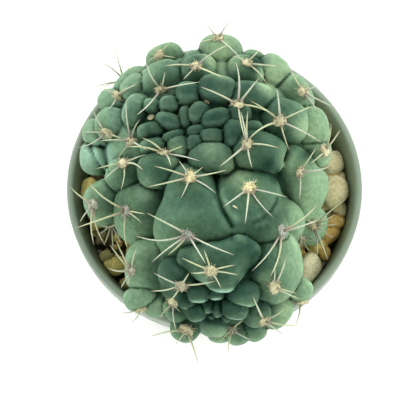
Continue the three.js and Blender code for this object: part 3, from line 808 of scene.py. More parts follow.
def ball(subdivisions):
    mesh = bmesh.new()
    bmesh.ops.create_icosphere(mesh, subdivisions=subdivisions, radius=1)
    vertices = np.array([v.co[:] for v in mesh.verts])
    faces = [[v.index for v in face.verts] for face in mesh.faces]
    mesh.free()
    return vertices, faces


LATTICE_STRIDES = np.array([374761393, 668265263, 2147483647])
SEED_STRIDE = 1442695041
MIXER = 1274126177
WORD = 0xFFFFFFFF


def value_noise(points, scale, seed):
    """Smooth noise from -1 to 1 at points, from a seeded lattice."""
    cells = points / scale
    base = np.floor(cells).astype(np.int64)
    part = cells - base
    part = part * part * (3 - 2 * part)
    total = np.zeros(points.shape[:-1])
    for corner in itertools.product((0, 1), repeat=3):
        mixed = (((base + corner) * LATTICE_STRIDES).sum(-1) + seed * SEED_STRIDE) & WORD
        mixed = ((mixed ^ (mixed >> 13)) * MIXER) & WORD
        value = (mixed ^ (mixed >> 16)) / WORD * 2 - 1
        total += value * np.where(corner, part, 1 - part).prod(-1)
    return total


# ---------------------------------------------------------------- materials

class Nodes:
    """Short ways to add nodes to a tree. Colours are (red, green, blue), scales are features a metre."""

    def __init__(self, tree):
        self.tree = tree

    def node(self, kind, inputs=None, **settings):
        node = self.tree.nodes.new("ShaderNode" + kind)
        for key, value in settings.items():
            setattr(node, key, value)
        for key, value in (inputs or {}).items():
            self.give(node.inputs[key], value)
        return node

    def give(self, socket, value):
        if isinstance(value, bpy.types.NodeSocket):
            self.tree.links.new(value, socket)
        elif isinstance(value, tuple):
            socket.default_value = (*value, 1)
        else:
            socket.default_value = value

    def attribute(self, name, output="Fac"):
        return self.node("Attribute", attribute_name=name).outputs[output]

    def noise(self, scale, detail, roughness=0.55):
        place = self.node("TexCoord").outputs["Object"]
        inputs = {"Vector": place, "Scale": scale, "Detail": detail, "Roughness": roughness}
        return self.node("TexNoise", inputs).outputs["Fac"]

    def cells(self, scale):
        place = self.node("TexCoord").outputs["Object"]
        return self.node("TexVoronoi", {"Vector": place, "Scale": scale}).outputs["Distance"]

    def ramp(self, value, *stops):
        """Maps a value through (place, colour or grey) stops."""
        node = self.node("ValToRGB", {"Fac": value})
        elements = node.color_ramp.elements
        while len(elements) < len(stops):
            elements.new(1.0)
        for element, (place, colour) in zip(elements, stops):
            element.position = place
            element.color = (*colour, 1) if isinstance(colour, tuple) else (colour, colour, colour, 1)
        return node.outputs["Color"]

    def clouds(self, scale, detail, first, second, start=0.3, end=0.7):
        """Noise that goes from one colour or grey to another."""
        return self.ramp(self.noise(scale, detail), (start, first), (end, second))

    def mix(self, share, a, b, mode="MIX"):
        node = self.node("Mix", data_type="RGBA", blend_type=mode)
        for index, value in ((0, share), (6, a), (7, b)):
            self.give(node.inputs[index], value)
        return node.outputs[2]

    def math(self, operation, *values):
        return self.node("Math", dict(enumerate(values)), operation=operation).outputs[0]

    def bump(self, height, distance, strength, below=None):
        inputs = {"Height": height, "Distance": distance, "Strength": strength}
        if below is not None:
            inputs["Normal"] = below
        return self.node("Bump", inputs).outputs["Normal"]

    def relief(self, scale, detail, distance, strength):
        """A bump from noise."""
        return self.bump(self.noise(scale, detail), distance, strength)


class Shader(Nodes):
    """A Principled material."""

    def __init__(self, name, **values):
        self.material = bpy.data.materials.new(name)
        self.material.use_nodes = True
        super().__init__(self.material.node_tree)
        self.finish(**values)

    def finish(self, **values):
        """Sets or links the shader's own inputs."""
        inputs = self.tree.nodes["Principled BSDF"].inputs
        for socket, value in values.items():
            self.give(inputs[socket.replace("_", " ")], value)
        return self.material


def skin_material():
    shader = Shader("cactus_skin", Sheen_Roughness=0.2, Sheen_Tint=(0.85, 1.0, 0.85))
    # The colour of the paler tones, partly painted light.
    straw = shader.mix(shader.attribute("west"), (0.25, 0.37, 0.21), (0.22, 0.38, 0.29))
    base = shader.clouds(95, 2, (0.034, 0.087, 0.056), (0.048, 0.11, 0.067))
    for mark, strength, colour in (
        # Painted light: the rounded tops of the tubercles are painted paler than their hollows.
        ("height", 0.5, (0.066, 0.138, 0.082)),
        ("warm", 0.5, (0.095, 0.165, 0.07)),
        # Paler old skin on the flanks, painted paler still on the east side as painted light.
        ("old", 1.0, (0.2, 0.32, 0.185)),
        # Darker young skin round each crown, partly painted shade of the sunken crown.
        ("young", 0.86, (0.014, 0.045, 0.031)),
        # Painted light, with some waxy bloom: the outward-facing flanks are paler, as if lit by the bright
        # tent walls.
        ("side", 0.6, (0.12, 0.22, 0.12)),
        # Painted light, with some waxy bloom: the skin low down, near the rim, is paler, as if lit by the
        # bright low tent walls.
        ("pale", 1.0, (0.2, 0.33, 0.2)),
        # Darker tones, partly painted shade.
        ("shaded", 0.9, (0.007, 0.027, 0.018)),
        ("pale_tone_and_light", 0.6, straw),
        # Painted shade in the broad hollows between tubercles.
        ("hollow_shade", 0.8, (0.01, 0.03, 0.017)),
        # Painted highlight: a pale sheen along the convex edges of the tubercles.
        ("rim_highlight", 0.5, (0.2, 0.34, 0.21)),
        # Painted light: pale lower edges, as if lit by light reflected from below.
        ("lip_light", 1.0, (0.22, 0.38, 0.27)),
    ):
        base = shader.mix(shader.math("MULTIPLY", shader.attribute(mark), strength), base, colour)
    crease_shade = shader.attribute("crease_shade")
    shaded = shader.attribute("shaded")
    dark = shader.math("MAXIMUM", shaded, shader.attribute("young"))
    pores = shader.cells(1500)
    speckle = shader.ramp(pores, (0.0, 1.0), (0.32, 0.0))
    strength = shader.ramp(dark, (0.0, 0.14), (1.0, 0.02))
    base = shader.mix(shader.math("MULTIPLY", speckle, strength), base, (0.15, 0.26, 0.16))
    base = shader.mix(1.0, base, shader.clouds(620, 4, 0.82, 1.15, 0.35, 0.65), "MULTIPLY")
    # Painted shade: the skin is darkened in its fine creases.
    base = shader.mix(shader.math("MULTIPLY", crease_shade, 0.8), base, (0.008, 0.026, 0.012))
    dull = shader.math("MAXIMUM", crease_shade, shader.math("MULTIPLY", shaded, 0.55))
    return shader.finish(
        Base_Color=base,
        Roughness=shader.clouds(240, 3, 0.42, 0.58),
        Normal=shader.bump(pores, 0.00014, 0.35, shader.relief(260, 3, 0.0006, 0.5)),
        Specular_IOR_Level=shader.ramp(dull, (0.0, 0.1), (0.55, 0.015)),
        Sheen_Weight=shader.ramp(dull, (0.0, 0.06), (0.5, 0.0)),
    )


def wool_material():
    shader = Shader("areole_wool", Roughness=0.95, Sheen_Weight=0.3, Specular_IOR_Level=0.1)
    young = shader.clouds(1800, 3, (0.46, 0.4, 0.17), (0.74, 0.7, 0.44))
    old = shader.clouds(1800, 3, (0.2, 0.22, 0.18), (0.44, 0.48, 0.4))
    colour = shader.mix(shader.attribute("age"), young, old)
    return shader.finish(Base_Color=colour, Normal=shader.relief(3500, 2, 0.0003, 0.7))


def spine_material():
    shader = Shader("spine_straw", Roughness=0.42, Specular_IOR_Level=0.4)
    share = shader.attribute("along")
    straw = shader.ramp(
        share,
        (0.0, (0.11, 0.07, 0.05)),
        (0.12, (0.26, 0.21, 0.13)),
        (0.3, (0.37, 0.4, 0.22)),
        (0.8, (0.43, 0.48, 0.26)),
        (1.0, (0.26, 0.18, 0.09)),
    )
    grey = shader.ramp(
        share,
        (0.0, (0.12, 0.09, 0.08)),
        (0.16, (0.3, 0.28, 0.24)),
        (0.4, (0.4, 0.44, 0.36)),
        (0.85, (0.44, 0.49, 0.38)),
        (1.0, (0.26, 0.2, 0.14)),
    )
    colour = shader.mix(shader.attribute("tint"), straw, grey)
    colour = shader.mix(1.0, colour, shader.clouds(2600, 2, 0.85, 1.1), "MULTIPLY")
    return shader.finish(Base_Color=colour, Normal=shader.relief(3000, 2, 0.0001, 0.4))


def stone_material():
    shader = Shader("stone", Roughness=0.85, Specular_IOR_Level=0.25)
    grain = shader.clouds(900, 4, 0.82, 1.2)
    colour = shader.mix(1.0, shader.attribute("tint", "Color"), grain, "MULTIPLY")
    veins = shader.ramp(shader.noise(230, 5, 0.7), (0.5, 0.0), (0.62, 0.5))
    colour = shader.mix(veins, colour, (0.4, 0.3, 0.1))
    return shader.finish(Base_Color=colour, Normal=shader.relief(1400, 4, 0.0004, 0.7))


def soil_material():
    shader = Shader("potting_soil", Roughness=0.95, Specular_IOR_Level=0.15)
    colour = shader.ramp(
        shader.cells(620),
        (0.0, (0.1, 0.085, 0.05)),
        (0.5, (0.045, 0.04, 0.022)),
        (1.0, (0.02, 0.018, 0.011)),
    )
    colour = shader.mix(shader.clouds(1500, 2, 0.0, 0.8, 0.6, 0.68), colour, (0.15, 0.12, 0.06))
    return shader.finish(Base_Color=colour, Normal=shader.relief(900, 5, 0.0012, 0.9))


def pot_material():
    shader = Shader("pot_plastic", Specular_IOR_Level=0.4)
    colour = shader.clouds(60, 3, (0.245, 0.315, 0.24), (0.29, 0.36, 0.275))
    scuff = shader.ramp(shader.noise(420, 6, 0.7), (0.56, 0.0), (0.72, 0.35))
    colour = shader.mix(scuff, colour, (0.33, 0.4, 0.33))
    # Painted shade: the outer face is a darker copy of the same plastic, against the bright tent walls.
    colour = shader.mix(shader.attribute("outer"), colour, (0.17, 0.22, 0.165))
    # Painted shade: the inner wall is darker and olive from just under the rim down.
    colour = shader.mix(shader.attribute("inner_wall_shade"), colour, (0.09, 0.1, 0.04))
    rough = shader.clouds(500, 3, 0.38, 0.5)
    return shader.finish(Base_Color=colour, Roughness=rough, Normal=shader.relief(1700, 2, 0.00008, 0.4))


# ---------------------------------------------------------------- skin

SKIN_STEP = 0.72
SKIN_LOW = np.array([-54.0, -68.0, SOIL_TOP - 1.5])
SKIN_HIGH = np.array([50.0, 58.0, POT_HEIGHT + 54])
NORTH_CROWN_PLACE = (203, 122)
SOUTH_CROWN_PLACE = (220, 303)
LIP_ROW = 277  # the painted light on the lower edges of the south crown begins below this row
PLANT_MIDDLE = np.array([-2.0, -7.0, 0.0])
WARM_RADIUS = 4.5
PROJECT_ROUNDS = 2
PROJECT_STEP = 0.08
FURTHEST_MOVE = 0.5


def project(points):
    """Moves points near the surface onto it."""
    for _ in range(PROJECT_ROUNDS):
        ahead = slope(body_distance, points, PROJECT_STEP)
        off = body_distance(points)
        size = (ahead**2).sum(-1).clip(0.05)
        points = points - ahead * np.clip(off / size, -FURTHEST_MOVE, FURTHEST_MOVE)[:, None]
    return points


def spread(values, edges, rounds):
    """Averages values over a mesh's neighbouring vertices, again and again."""
    first, second = edges.T
    size = len(values)
    count = np.bincount(np.concatenate([first, second]), minlength=size)
    for _ in range(rounds):
        columns = []
        for column in values.T:
            total = np.bincount(first, column[second], size) + np.bincount(second, column[first], size)
            columns.append(0.5 * column + 0.5 * total / count)
        values = np.stack(columns, 1)
    return values


def vertex_normals(points, faces):
    across = np.cross(points[faces[:, 2]] - points[faces[:, 0]], points[faces[:, 3]] - points[faces[:, 1]])
    columns = [np.bincount(faces.ravel(), np.repeat(column, 4), len(points)) for column in across.T]
    return unit(np.stack(columns, 1))


def from_crowns(points):
    """Each point's angle from the crown it belongs to, and its share in the south head."""
    angles, distances = [], []
    for place, head in ((NORTH_CROWN_PLACE, north_lobe), (SOUTH_CROWN_PLACE, south_lobe)):
        middle = meet(core_distance, eye, sight_lines([place]), SIGHT_START, SIGHT_END)[0]
        turn = unit(points - head[0]) @ unit(middle - head[0])
        angles.append(np.degrees(np.arccos(np.clip(turn, -1, 1))))
        distances.append(lobe_distance(points, head))
    share = 1 / (1 + np.exp((distances[1] - distances[0]) / 3))
    return angles[0] * (1 - share) + angles[1] * share, share


def skin_marks(points, faces, areoles):
    """How strongly each mark of the skin's material shows at each point."""
    pairs = np.concatenate([faces[:, [i, (i + 1) % 4]] for i in range(4)])
    edges = np.unique(np.sort(pairs, 1), axis=0)
    normals = vertex_normals(points, faces)
    fine, broad, sharp = (
        ((spread(points, edges, rounds) - points) * normals).sum(1) for rounds in (6, 50, 4)
    )
    # Painted shade: how deep in a fine crease each point lies, for darkening the skin there.
    crease_shade = fade(fine, 0.03, 0.33)
    angle, share = from_crowns(points)
    # Darker young skin round each crown, partly painted shade of the sunken crown.
    young = np.clip(1.4 + 0.4 * share - angle / (50 - 8 * share), 0, 1)
    # Painted highlight: the sharp convex edges of the tubercles, away from the crowns, are painted paler.
    rim_highlight = spread(fade(sharp, -0.07, -0.11)[:, None], edges, 3)[:, 0]
    core_normals = unit(slope(core_distance, points, 0.5))
    # Painted light: the lower edges of the tubercles, strongest in the south crown, are painted paler, as
    # if lit from below.
    lower = (normals - core_normals) @ -view_up + 0.16 * share
    column, row = on_grid(points)
    lip_light = fade(lower, 0.36, 0.66) * (0.15 + 0.85 * share * fade(row, LIP_ROW, LIP_ROW + 7))
    # Painted light: the paleness of old skin is stronger towards the east, the side the fill lamp lights.
    east_lit = 0.75 + 0.25 * np.clip(points[:, 0] / 30, -1, 1)
    outward = (points - PLANT_MIDDLE) * (1, 1, 0)
    leaning = (normals * unit(outward)).sum(1)
    warm = np.zeros(len(points))
    for base, *_ in areoles:
        warm = np.maximum(warm, np.exp(-(((points - base) ** 2).sum(-1)) / (2 * WARM_RADIUS**2)))
    tone = np.zeros(len(points))
    for at_column, at_row, radius, amount in TONES:
        tone += amount * np.exp(-(((column - at_column) ** 2 + (row - at_row) ** 2) / radius**2))
    return {
        "crease_shade": crease_shade,
        # Painted shade: the broad hollows between tubercles are darkened.
        "hollow_shade": fade(broad, 0, 0.8),
        # Painted light: paler on the rounded tops of the tubercles.
        "height": fade(broad, 0, -1.0),
        "rim_highlight": rim_highlight * (1 - young),
        "young": young,
        "old": fade(angle, 48, 78) * fade(core_normals[:, 2], 0.85, 0.5) * east_lit,
        # Painted light, with some waxy bloom: paler low down, near the rim.
        "pale": fade(points[:, 2], POT_HEIGHT + 16, POT_HEIGHT - 10) * 0.6,
        # Painted light, with some waxy bloom: outward-facing flanks away from the middle are paler.
        "side": fade(leaning, 0.25, 0.85) * fade(np.hypot(*outward[:, :2].T), 7.2, 31.2),
        "warm": warm,
        # Paler and darker tones from the table, partly painted light and shade.
        "pale_tone_and_light": np.clip(tone, 0, 1.5),
        "shaded": fade(tone, 0, -1.25),
        "lip_light": lip_light * fade(angle, 44, 30) * fade(crease_shade, 0.65, 0.15),
        "west": fade(points[:, 0], -15, -35),
    }


def make_skin(areoles):
    shape = tuple(np.ceil((SKIN_HIGH - SKIN_LOW) / SKIN_STEP).astype(int))
    field = body_grid(SKIN_LOW, shape, SKIN_STEP)
    field[:, :, 0] = 1.0
    vertices, faces = surface_net(field, SKIN_LOW, SKIN_STEP)
    free = vertices[:, 2] > SKIN_LOW[2] + SKIN_STEP
    vertices[free] = project(vertices[free])
    obj = build("cactus_skin", vertices, faces, skin_marks(vertices, faces, areoles))
    return dress(obj, "cactus", skin_material())


# ---------------------------------------------------------------- areoles and spines

GRAVEL_TOP = SOIL_TOP + 5.9
SPINE_PROBES = 12
SPINE_TRIES = 16
BURIED = -0.9


def seeded(seed):
    """The same draws as the part's own source makes."""
    state = seed
    while True:
        state = (state * 1664525 + 1013904223) % 4294967296
        yield state / 4294967296


def clear_of_pot(points, room=SPINE_CLEAR):
    radius = np.hypot(points[..., 0], points[..., 1])
    near_wall = (radius > inside_radius(points[..., 2]) - room) & (radius < RIM_RADIUS + room)
    low = points[..., 2] < POT_HEIGHT + room
    above_gravel = (radius > RIM_RADIUS) | (points[..., 2] > GRAVEL_TOP + room / 2)
    return ~(near_wall & low) & above_gravel


def clear_tip(base, tip, lift):
    """A spine's tip, lifted until the whole spine stands clear of the pot and over the skin."""
    shares = (np.arange(SPINE_PROBES) + 1) / SPINE_PROBES
    for _ in range(SPINE_TRIES):
        points = base + (tip - base) * shares[:, None]
        over = (body_distance(points) > SPINE_FLOAT * shares) | (shares < SPINE_BARE)
        if (clear_of_pot(points) & over).all():
            return tip
        tip = tip + lift
    return None


def seen_areoles():
    sights = sight_lines([at for at, *_ in AREOLES])
    bases = meet(body_distance, eye, sights, SIGHT_START, SIGHT_END, steps=160)
    found = []
    for base, (_, tips, *age) in zip(bases, AREOLES):
        if np.isnan(base[0]):
            continue
        normal = unit(slope(body_distance, base[None]))[0]
        spines = []
        for to_tip in sight_lines(tips):
            tip = eye + to_tip * ((base - eye) @ to_tip)
            tip = tip - to_tip * SPINE_LIFT * np.linalg.norm(tip - base)
            spines.append(clear_tip(base, tip, -to_tip))
        age = age[0] if age else AREOLE_AGE
        found.append((base, normal, [tip for tip in spines if tip is not None], age))
    return found


def flank_areoles():
    draw = seeded(7)
    count, shortest, longest, rise = FLANK_SPINES
    found = []
    for one in flank_ones:
        across, down, normal = one["axes"]
        base = one["centre"] + normal * one["half"][2]
        buried = body_distance(base[None])[0] < BURIED
        if buried or not clear_of_pot(base, AREOLE_RADIUS + SPINE_CLEAR):
            continue
        tips = []
        for i in range(count):
            angle = 2 * math.pi * (i + 0.5 * next(draw)) / count
            length = shortest + (longest - shortest) * next(draw)
            flat = across * math.cos(angle) + down * math.sin(angle)
            direction = flat * math.cos(rise) + normal * math.sin(rise)
            tip = clear_tip(base, base + direction * length, normal)
            if tip is not None:
                tips.append(tip)
        found.append((base, normal, tips, FLANK_AGE))
    return found


SPINE_RINGS = 11
SPINE_RADIUS = 0.35
SPINE_TIP = 0.07
SPINE_SIDES = 7
SPINE_VARIES = (0.8, 1.15)
SPINE_BEND = (0.02, 0.09)
SPINE_SWAY = 0.035
SPINE_TAPER = 0.75
SPINE_FOOT = 0.3
SPINE_SUNK = 0.2


def make_spines(areoles, rng):
    paths, radii, tints = [], [], []
    share = np.linspace(0, 1, SPINE_RINGS)
    for base, normal, tips, _ in areoles:
        for tip in tips:
            length = np.linalg.norm(tip - base)
            direction = (tip - base) / length
            side = unit(np.cross(direction, normal))
            bend = rng.uniform(*SPINE_BEND)
            sway = rng.normal(0, SPINE_SWAY)
            arch = np.sin(share * math.pi)[:, None] * (normal * bend + side * sway) * length
            start = base + direction * SPINE_FOOT - normal * SPINE_SUNK
            paths.append(start + (tip - start) * share[:, None] + arch)
            thick = SPINE_RADIUS * rng.uniform(*SPINE_VARIES) * min(1.0, 0.55 + length / 24)
            radii.append(thick * (1 - share) ** SPINE_TAPER * (1 - SPINE_TIP) + SPINE_TIP)
            tints.append(rng.random())
    vertices, faces, along = tubes(np.array(paths), np.array(radii), SPINE_SIDES)
    tint = np.repeat(tints, SPINE_RINGS * SPINE_SIDES)
    obj = build("cactus_spines", vertices, faces, {"along": along, "tint": tint})
    return dress(obj, "cactus", spine_material())


PAD_HALF = np.array([2.0, 1.5, 0.8])
PAD_VARIES = (0.85, 1.2)
PAD_LUMP = 0.3
PAD_LUMPS = 2.4
HAIRS = 110
HAIR_RADII = np.array([0.1, 0.085, 0.06, 0.02])
HAIR_SIDES = 3
HAIR_SHORTEST = 0.6
HAIR_LONGER = 1.1
HAIR_CURL = 0.15
HAIR_STRAY = 0.25


def hair_path(rng, axes, base, half):
    """A short hair that leans out from its pad, more so near the pad's edge."""
    angle = rng.random() * 2 * math.pi
    out = rng.random() ** 0.5
    flat = np.array([math.cos(angle), math.sin(angle), 0.0])
    root = base + (flat * half * out * 0.95) @ axes + axes[2] * 0.5 * (1 - out)
    lean = flat * (0.35 + 1.1 * out) + np.array([0, 0, 1.1 - 0.7 * out])
    lean = unit(lean + rng.normal(0, HAIR_STRAY, 3))
    length = HAIR_SHORTEST + HAIR_LONGER * rng.random() ** 2
    curl = rng.normal(0, HAIR_CURL, 3)
    steps = np.linspace(0, 1, len(HAIR_RADII))[:, None]
    return root + ((lean * steps + curl * steps**2) * length) @ axes


def make_wool(areoles, rng):
    """Each areole is a low felted pad with a fringe of short hairs; flecks have no hairs."""
    ball_vertices, ball_faces = ball(3)
    heap = Heap()
    paths, ages = [], []
    for base, normal, _, age in areoles:
        axes = axes_from(normal, rng.normal(size=3))
        half = PAD_HALF * rng.uniform(*PAD_VARIES)
        lumpy = 1 + PAD_LUMP * value_noise(ball_vertices * PAD_LUMPS + base, 1.0, 5)[:, None]
        pad = base - normal * 0.1 + (ball_vertices * half * lumpy) @ axes
        heap.add(pad, ball_faces, age=np.full(len(pad), age))
        paths.extend(hair_path(rng, axes, base, half) for _ in range(HAIRS))
        ages.extend([age] * HAIRS)
    bases = meet(body_distance, eye, sight_lines([row[:2] for row in FLECKS]), SIGHT_START, SIGHT_END)
    for base, (_, _, length, width, turn) in zip(bases, FLECKS):
        normal = unit(slope(body_distance, base[None]))[0]
        along = view_right * math.cos(math.radians(turn)) + view_up * math.sin(math.radians(turn))
        fleck = base + (ball_vertices * (length / 2, width / 2, FLECK_HEIGHT)) @ axes_from(normal, along)
        heap.add(fleck, ball_faces, age=np.full(len(fleck), FLECK_AGE))
    hairs, hair_faces, _ = tubes(np.array(paths), np.tile(HAIR_RADII, (len(paths), 1)), HAIR_SIDES)
    heap.add(hairs, hair_faces, age=np.repeat(ages, len(HAIR_RADII) * HAIR_SIDES))
    return dress(heap.build("cactus_areoles"), "cactus", wool_material())


# ---------------------------------------------------------------- pot

POT_SIDES = 180
ARC_STEPS = 5
FOOT_ROUND = 0.4
EDGE_ROUND = 1.2
COLLAR_ROUND = 0.5
COLLAR_EDGE = 0.7
RIM_ROUND = 1.1
SHARP = math.radians(40)
INNER_SHADE = 0.7
INNER_SHADE_BAND = (0.5, 8.5)  # how far under the rim the painted shade of the inner wall begins and is full
RING_HEIGHT = 4  # the pot's walls are cut into rings about this high
DRAIN_DEPTH = (-3, 6)
DRAIN_SIDES = 32


def rounded(corners):
    """A profile whose corners (radius, height, rounding) are replaced by arcs."""
    points = []
    for i, (radius, height, amount) in enumerate(corners):
        here = np.array([radius, height], float)
        if amount == 0:
            points.append(here)
            continue
        before = unit(np.array(corners[i - 1][:2]) - here)
        after = unit(np.array(corners[i + 1][:2]) - here)
        for t in np.linspace(0, 1, ARC_STEPS):
            points.append(here + amount * ((1 - t) ** 2 * before + t**2 * after))
    return points


def make_pot():
    collar_foot = POT_HEIGHT - COLLAR_HEIGHT
    wall_foot = inside_radius(0) + WALL
    profile = rounded([
        (0, 0, 0),
        (PAD_RADIUS, 0, FOOT_ROUND),
        (PAD_RADIUS + FOOT_HEIGHT, FOOT_HEIGHT, FOOT_ROUND),
        (wall_foot - FOOT_WIDTH - FOOT_HEIGHT, FOOT_HEIGHT, FOOT_ROUND),
        (wall_foot - FOOT_WIDTH, 0, FOOT_ROUND),
        (wall_foot, 0, EDGE_ROUND),
        (inside_radius(collar_foot) + WALL, collar_foot, COLLAR_ROUND),
        (RIM_RADIUS, collar_foot, COLLAR_EDGE),
        (RIM_RADIUS, POT_HEIGHT, RIM_ROUND),
        (RIM_INSIDE, POT_HEIGHT, RIM_ROUND),
        (inside_radius(FLOOR), FLOOR, EDGE_ROUND),
        (0, FLOOR, 0),
    ])
    fine = []
    for (r0, z0), (r1, z1) in zip(profile, profile[1:]):
        pieces = max(1, int(abs(z1 - z0) / RING_HEIGHT))
        fine.extend((r0 + (r1 - r0) * i / pieces, z0 + (z1 - z0) * i / pieces) for i in range(pieces))
    fine.append(tuple(profile[-1]))
    vertices, faces = turned(fine, POT_SIDES)
    height = vertices[:, 2]
    past_wall = np.hypot(vertices[:, 0], vertices[:, 1]) - inside_radius(height)
    # Painted shade down the inner wall, below the rim.
    inner_wall_shade = np.where(past_wall < 0.3, fade(POT_HEIGHT - height, *INNER_SHADE_BAND) * INNER_SHADE, 0)
    # The outer face, painted darker as painted shade.
    outer = fade(past_wall, 0.2, WALL + 0.2)
    obj = build("pot_body", vertices, faces, {"inner_wall_shade": inner_wall_shade, "outer": outer})
    below, above = DRAIN_DEPTH
    hole_profile = [(0, below), (DRAIN_RADIUS, below), (DRAIN_RADIUS, above), (0, above)]
    hole, hole_faces = turned(hole_profile, DRAIN_SIDES)
    drills = Heap()
    for i in range(DRAINS):
        angle = 2 * math.pi * i / DRAINS
        drills.add(hole + (DRAIN_RING * math.cos(angle), DRAIN_RING * math.sin(angle), 0), hole_faces)
    drill = drills.build("drain_drill")
    cut = obj.modifiers.new("drains", "BOOLEAN")
    cut.object = drill
    cut.operation = "DIFFERENCE"
    cut.solver = "EXACT"
    graph = bpy.context.evaluated_depsgraph_get()
    mesh = bpy.data.meshes.new_from_object(obj.evaluated_get(graph))
    obj.modifiers.clear()
    obj.data = mesh
    bpy.data.objects.remove(drill)
    mesh.polygons.foreach_set("use_smooth", [True] * len(mesh.polygons))
    mesh.set_sharp_from_angle(angle=SHARP)
    return dress(obj, "pot", pot_material())


# ---------------------------------------------------------------- soil and gravel

CREAM = (0.74, 0.64, 0.36)
SAND = (0.6, 0.55, 0.33)
PALE = (0.95, 0.9, 0.6)
OCHRE = (0.72, 0.47, 0.15)
YELLOW = (0.72, 0.6, 0.2)
OLIVE = (0.4, 0.36, 0.15)
GREY = (0.36, 0.36, 0.28)
UMBER = (0.15, 0.12, 0.07)
TINTS = [CREAM, PALE, OCHRE, YELLOW, OLIVE, GREY, UMBER]
EAST_SHARES = [0.34, 0.2, 0.16, 0.1, 0.08, 0.08, 0.04]
WEST_SHARES = [0.06, 0.02, 0.12, 0.2, 0.26, 0.08, 0.26]

# Larger stones: column, row, length, width, turn in degrees, tint, height over the soil.
LARGE_STONES = [
    (335, 163, 9.5, 8.5, 60, SAND, 7.5),
    (330, 180, 11.0, 9.0, 20, CREAM, 5.2),
    (345, 192, 13.0, 9.5, 80, SAND, 8.5),
    (327, 200, 9.0, 7.0, 40, CREAM, 5.0),
    (344, 209, 7.0, 5.5, 120, CREAM, 7.0),
    (330, 233, 8.5, 6.5, 70, OCHRE, 5.2),
    (341, 224, 7.5, 6.0, 0, OCHRE, 6.0),
    (318, 247, 7.5, 5.5, 30, YELLOW, 5.2),
    (312, 271, 11.0, 8.0, 80, PALE, 7.5),
    (325, 252, 6.0, 4.5, 110, OCHRE, 5.2),
    (300, 256, 5.0, 4.5, 110, OCHRE, 5.2),
    (84, 188, 8.0, 5.5, 80, YELLOW, 8.5),
    (86, 203, 5.0, 4.0, 20, UMBER, 5.2),
    (115, 266, 9.0, 6.5, 20, YELLOW, 5.2),
    (105, 258, 6.0, 4.5, 140, OLIVE, 5.2),
    (97, 222, 6.5, 4.5, 60, YELLOW, 5.2),
    (101, 238, 5.5, 4.0, 60, UMBER, 5.2),
    (125, 285, 6.0, 4.5, 30, OLIVE, 5.2),
    (322, 118, 6.0, 5.0, 50, OCHRE, 5.2),
    (330, 134, 7.0, 5.0, 100, OCHRE, 5.2),
]
LARGE_FLATNESS = 0.36
LARGE_GAP = 0.2
LARGE_BALL = 3
SMALL_BALL = 2
GRIT = [(110, 1.7, 3.2, LARGE_BALL), (560, 0.6, 1.5, SMALL_BALL)]  # tries, smallest, largest, fineness
GRIT_TRIES = 12
GRIT_RING = (29.0, 46.6)
GRIT_APART = 0.72
GRIT_CLEAR = 0.8
GRIT_SKEW = 1.4  # over 1: more small grains than large ones
GRIT_RISE = (0.1, 0.45)
GRIT_STRETCH = (1, 1.35)
GRIT_FLATNESS = (0.6, 0.8)
STONE_SHADES = (0.85, 1.15)

STONE_FACES = 9
STONE_REACH = (0.66, 0.95)
STONE_EDGE = 10
STONE_FILL = 0.12
CHIP = 0.07
CHIPS = 3.3

SOIL_SIDES = 200
SOIL_RINGS = 46
SOIL_HEAP = 1.4
SOIL_LUMPS = [(1.1, 5.0, 3), (0.6, 2.1, 4), (0.3, 0.9, 9)]  # depth, size, seed


def soil_height(points):
    return SOIL_TOP + SOIL_HEAP + sum(depth * value_noise(points, *lump) for depth, *lump in SOIL_LUMPS)


def make_soil():
    floor = FLOOR + GAP
    top_radius = inside_radius(SOIL_TOP) - GAP
    profile = [(0, floor), (inside_radius(floor) - LIP_ROUND - GAP, floor), (top_radius, SOIL_TOP)]
    profile += [(radius, 0) for radius in np.linspace(4, top_radius, SOIL_RINGS)[::-1]]
    vertices, faces = turned([*profile, (0, 0)], SOIL_SIDES)
    top = vertices[1 + 2 * SOIL_SIDES :]
    top[:, 2] = soil_height(top)
    return dress(build("soil_fill", vertices, faces), "soil", soil_material())


def stone(centre, half, turn, seed, vertices):
    """A piece of grit: a ball cut by flat faces that round off into one another, and chipped."""
    draw = np.random.default_rng(seed)
    faces = unit(draw.normal(size=(STONE_FACES, 3)))
    reach = draw.uniform(*STONE_REACH, STONE_FACES)
    cuts = (np.clip(vertices @ faces.T, 0, None) / reach) ** STONE_EDGE
    chips = CHIP * value_noise(vertices * CHIPS + seed * 1.7, 1.0, seed + 50)
    body = vertices * ((1 + cuts.sum(1)) ** (-1 / STONE_EDGE) + chips + STONE_FILL)[:, None] * half
    cos, sin = math.cos(turn), math.sin(turn)
    points = body @ np.array([[cos, sin, 0], [-sin, cos, 0], [0, 0, 1]]) + centre
    room = (inside_radius(points[:, 2]) - GAP) / np.hypot(points[:, 0], points[:, 1])
    points[:, :2] *= np.minimum(1, room)[:, None]
    return points


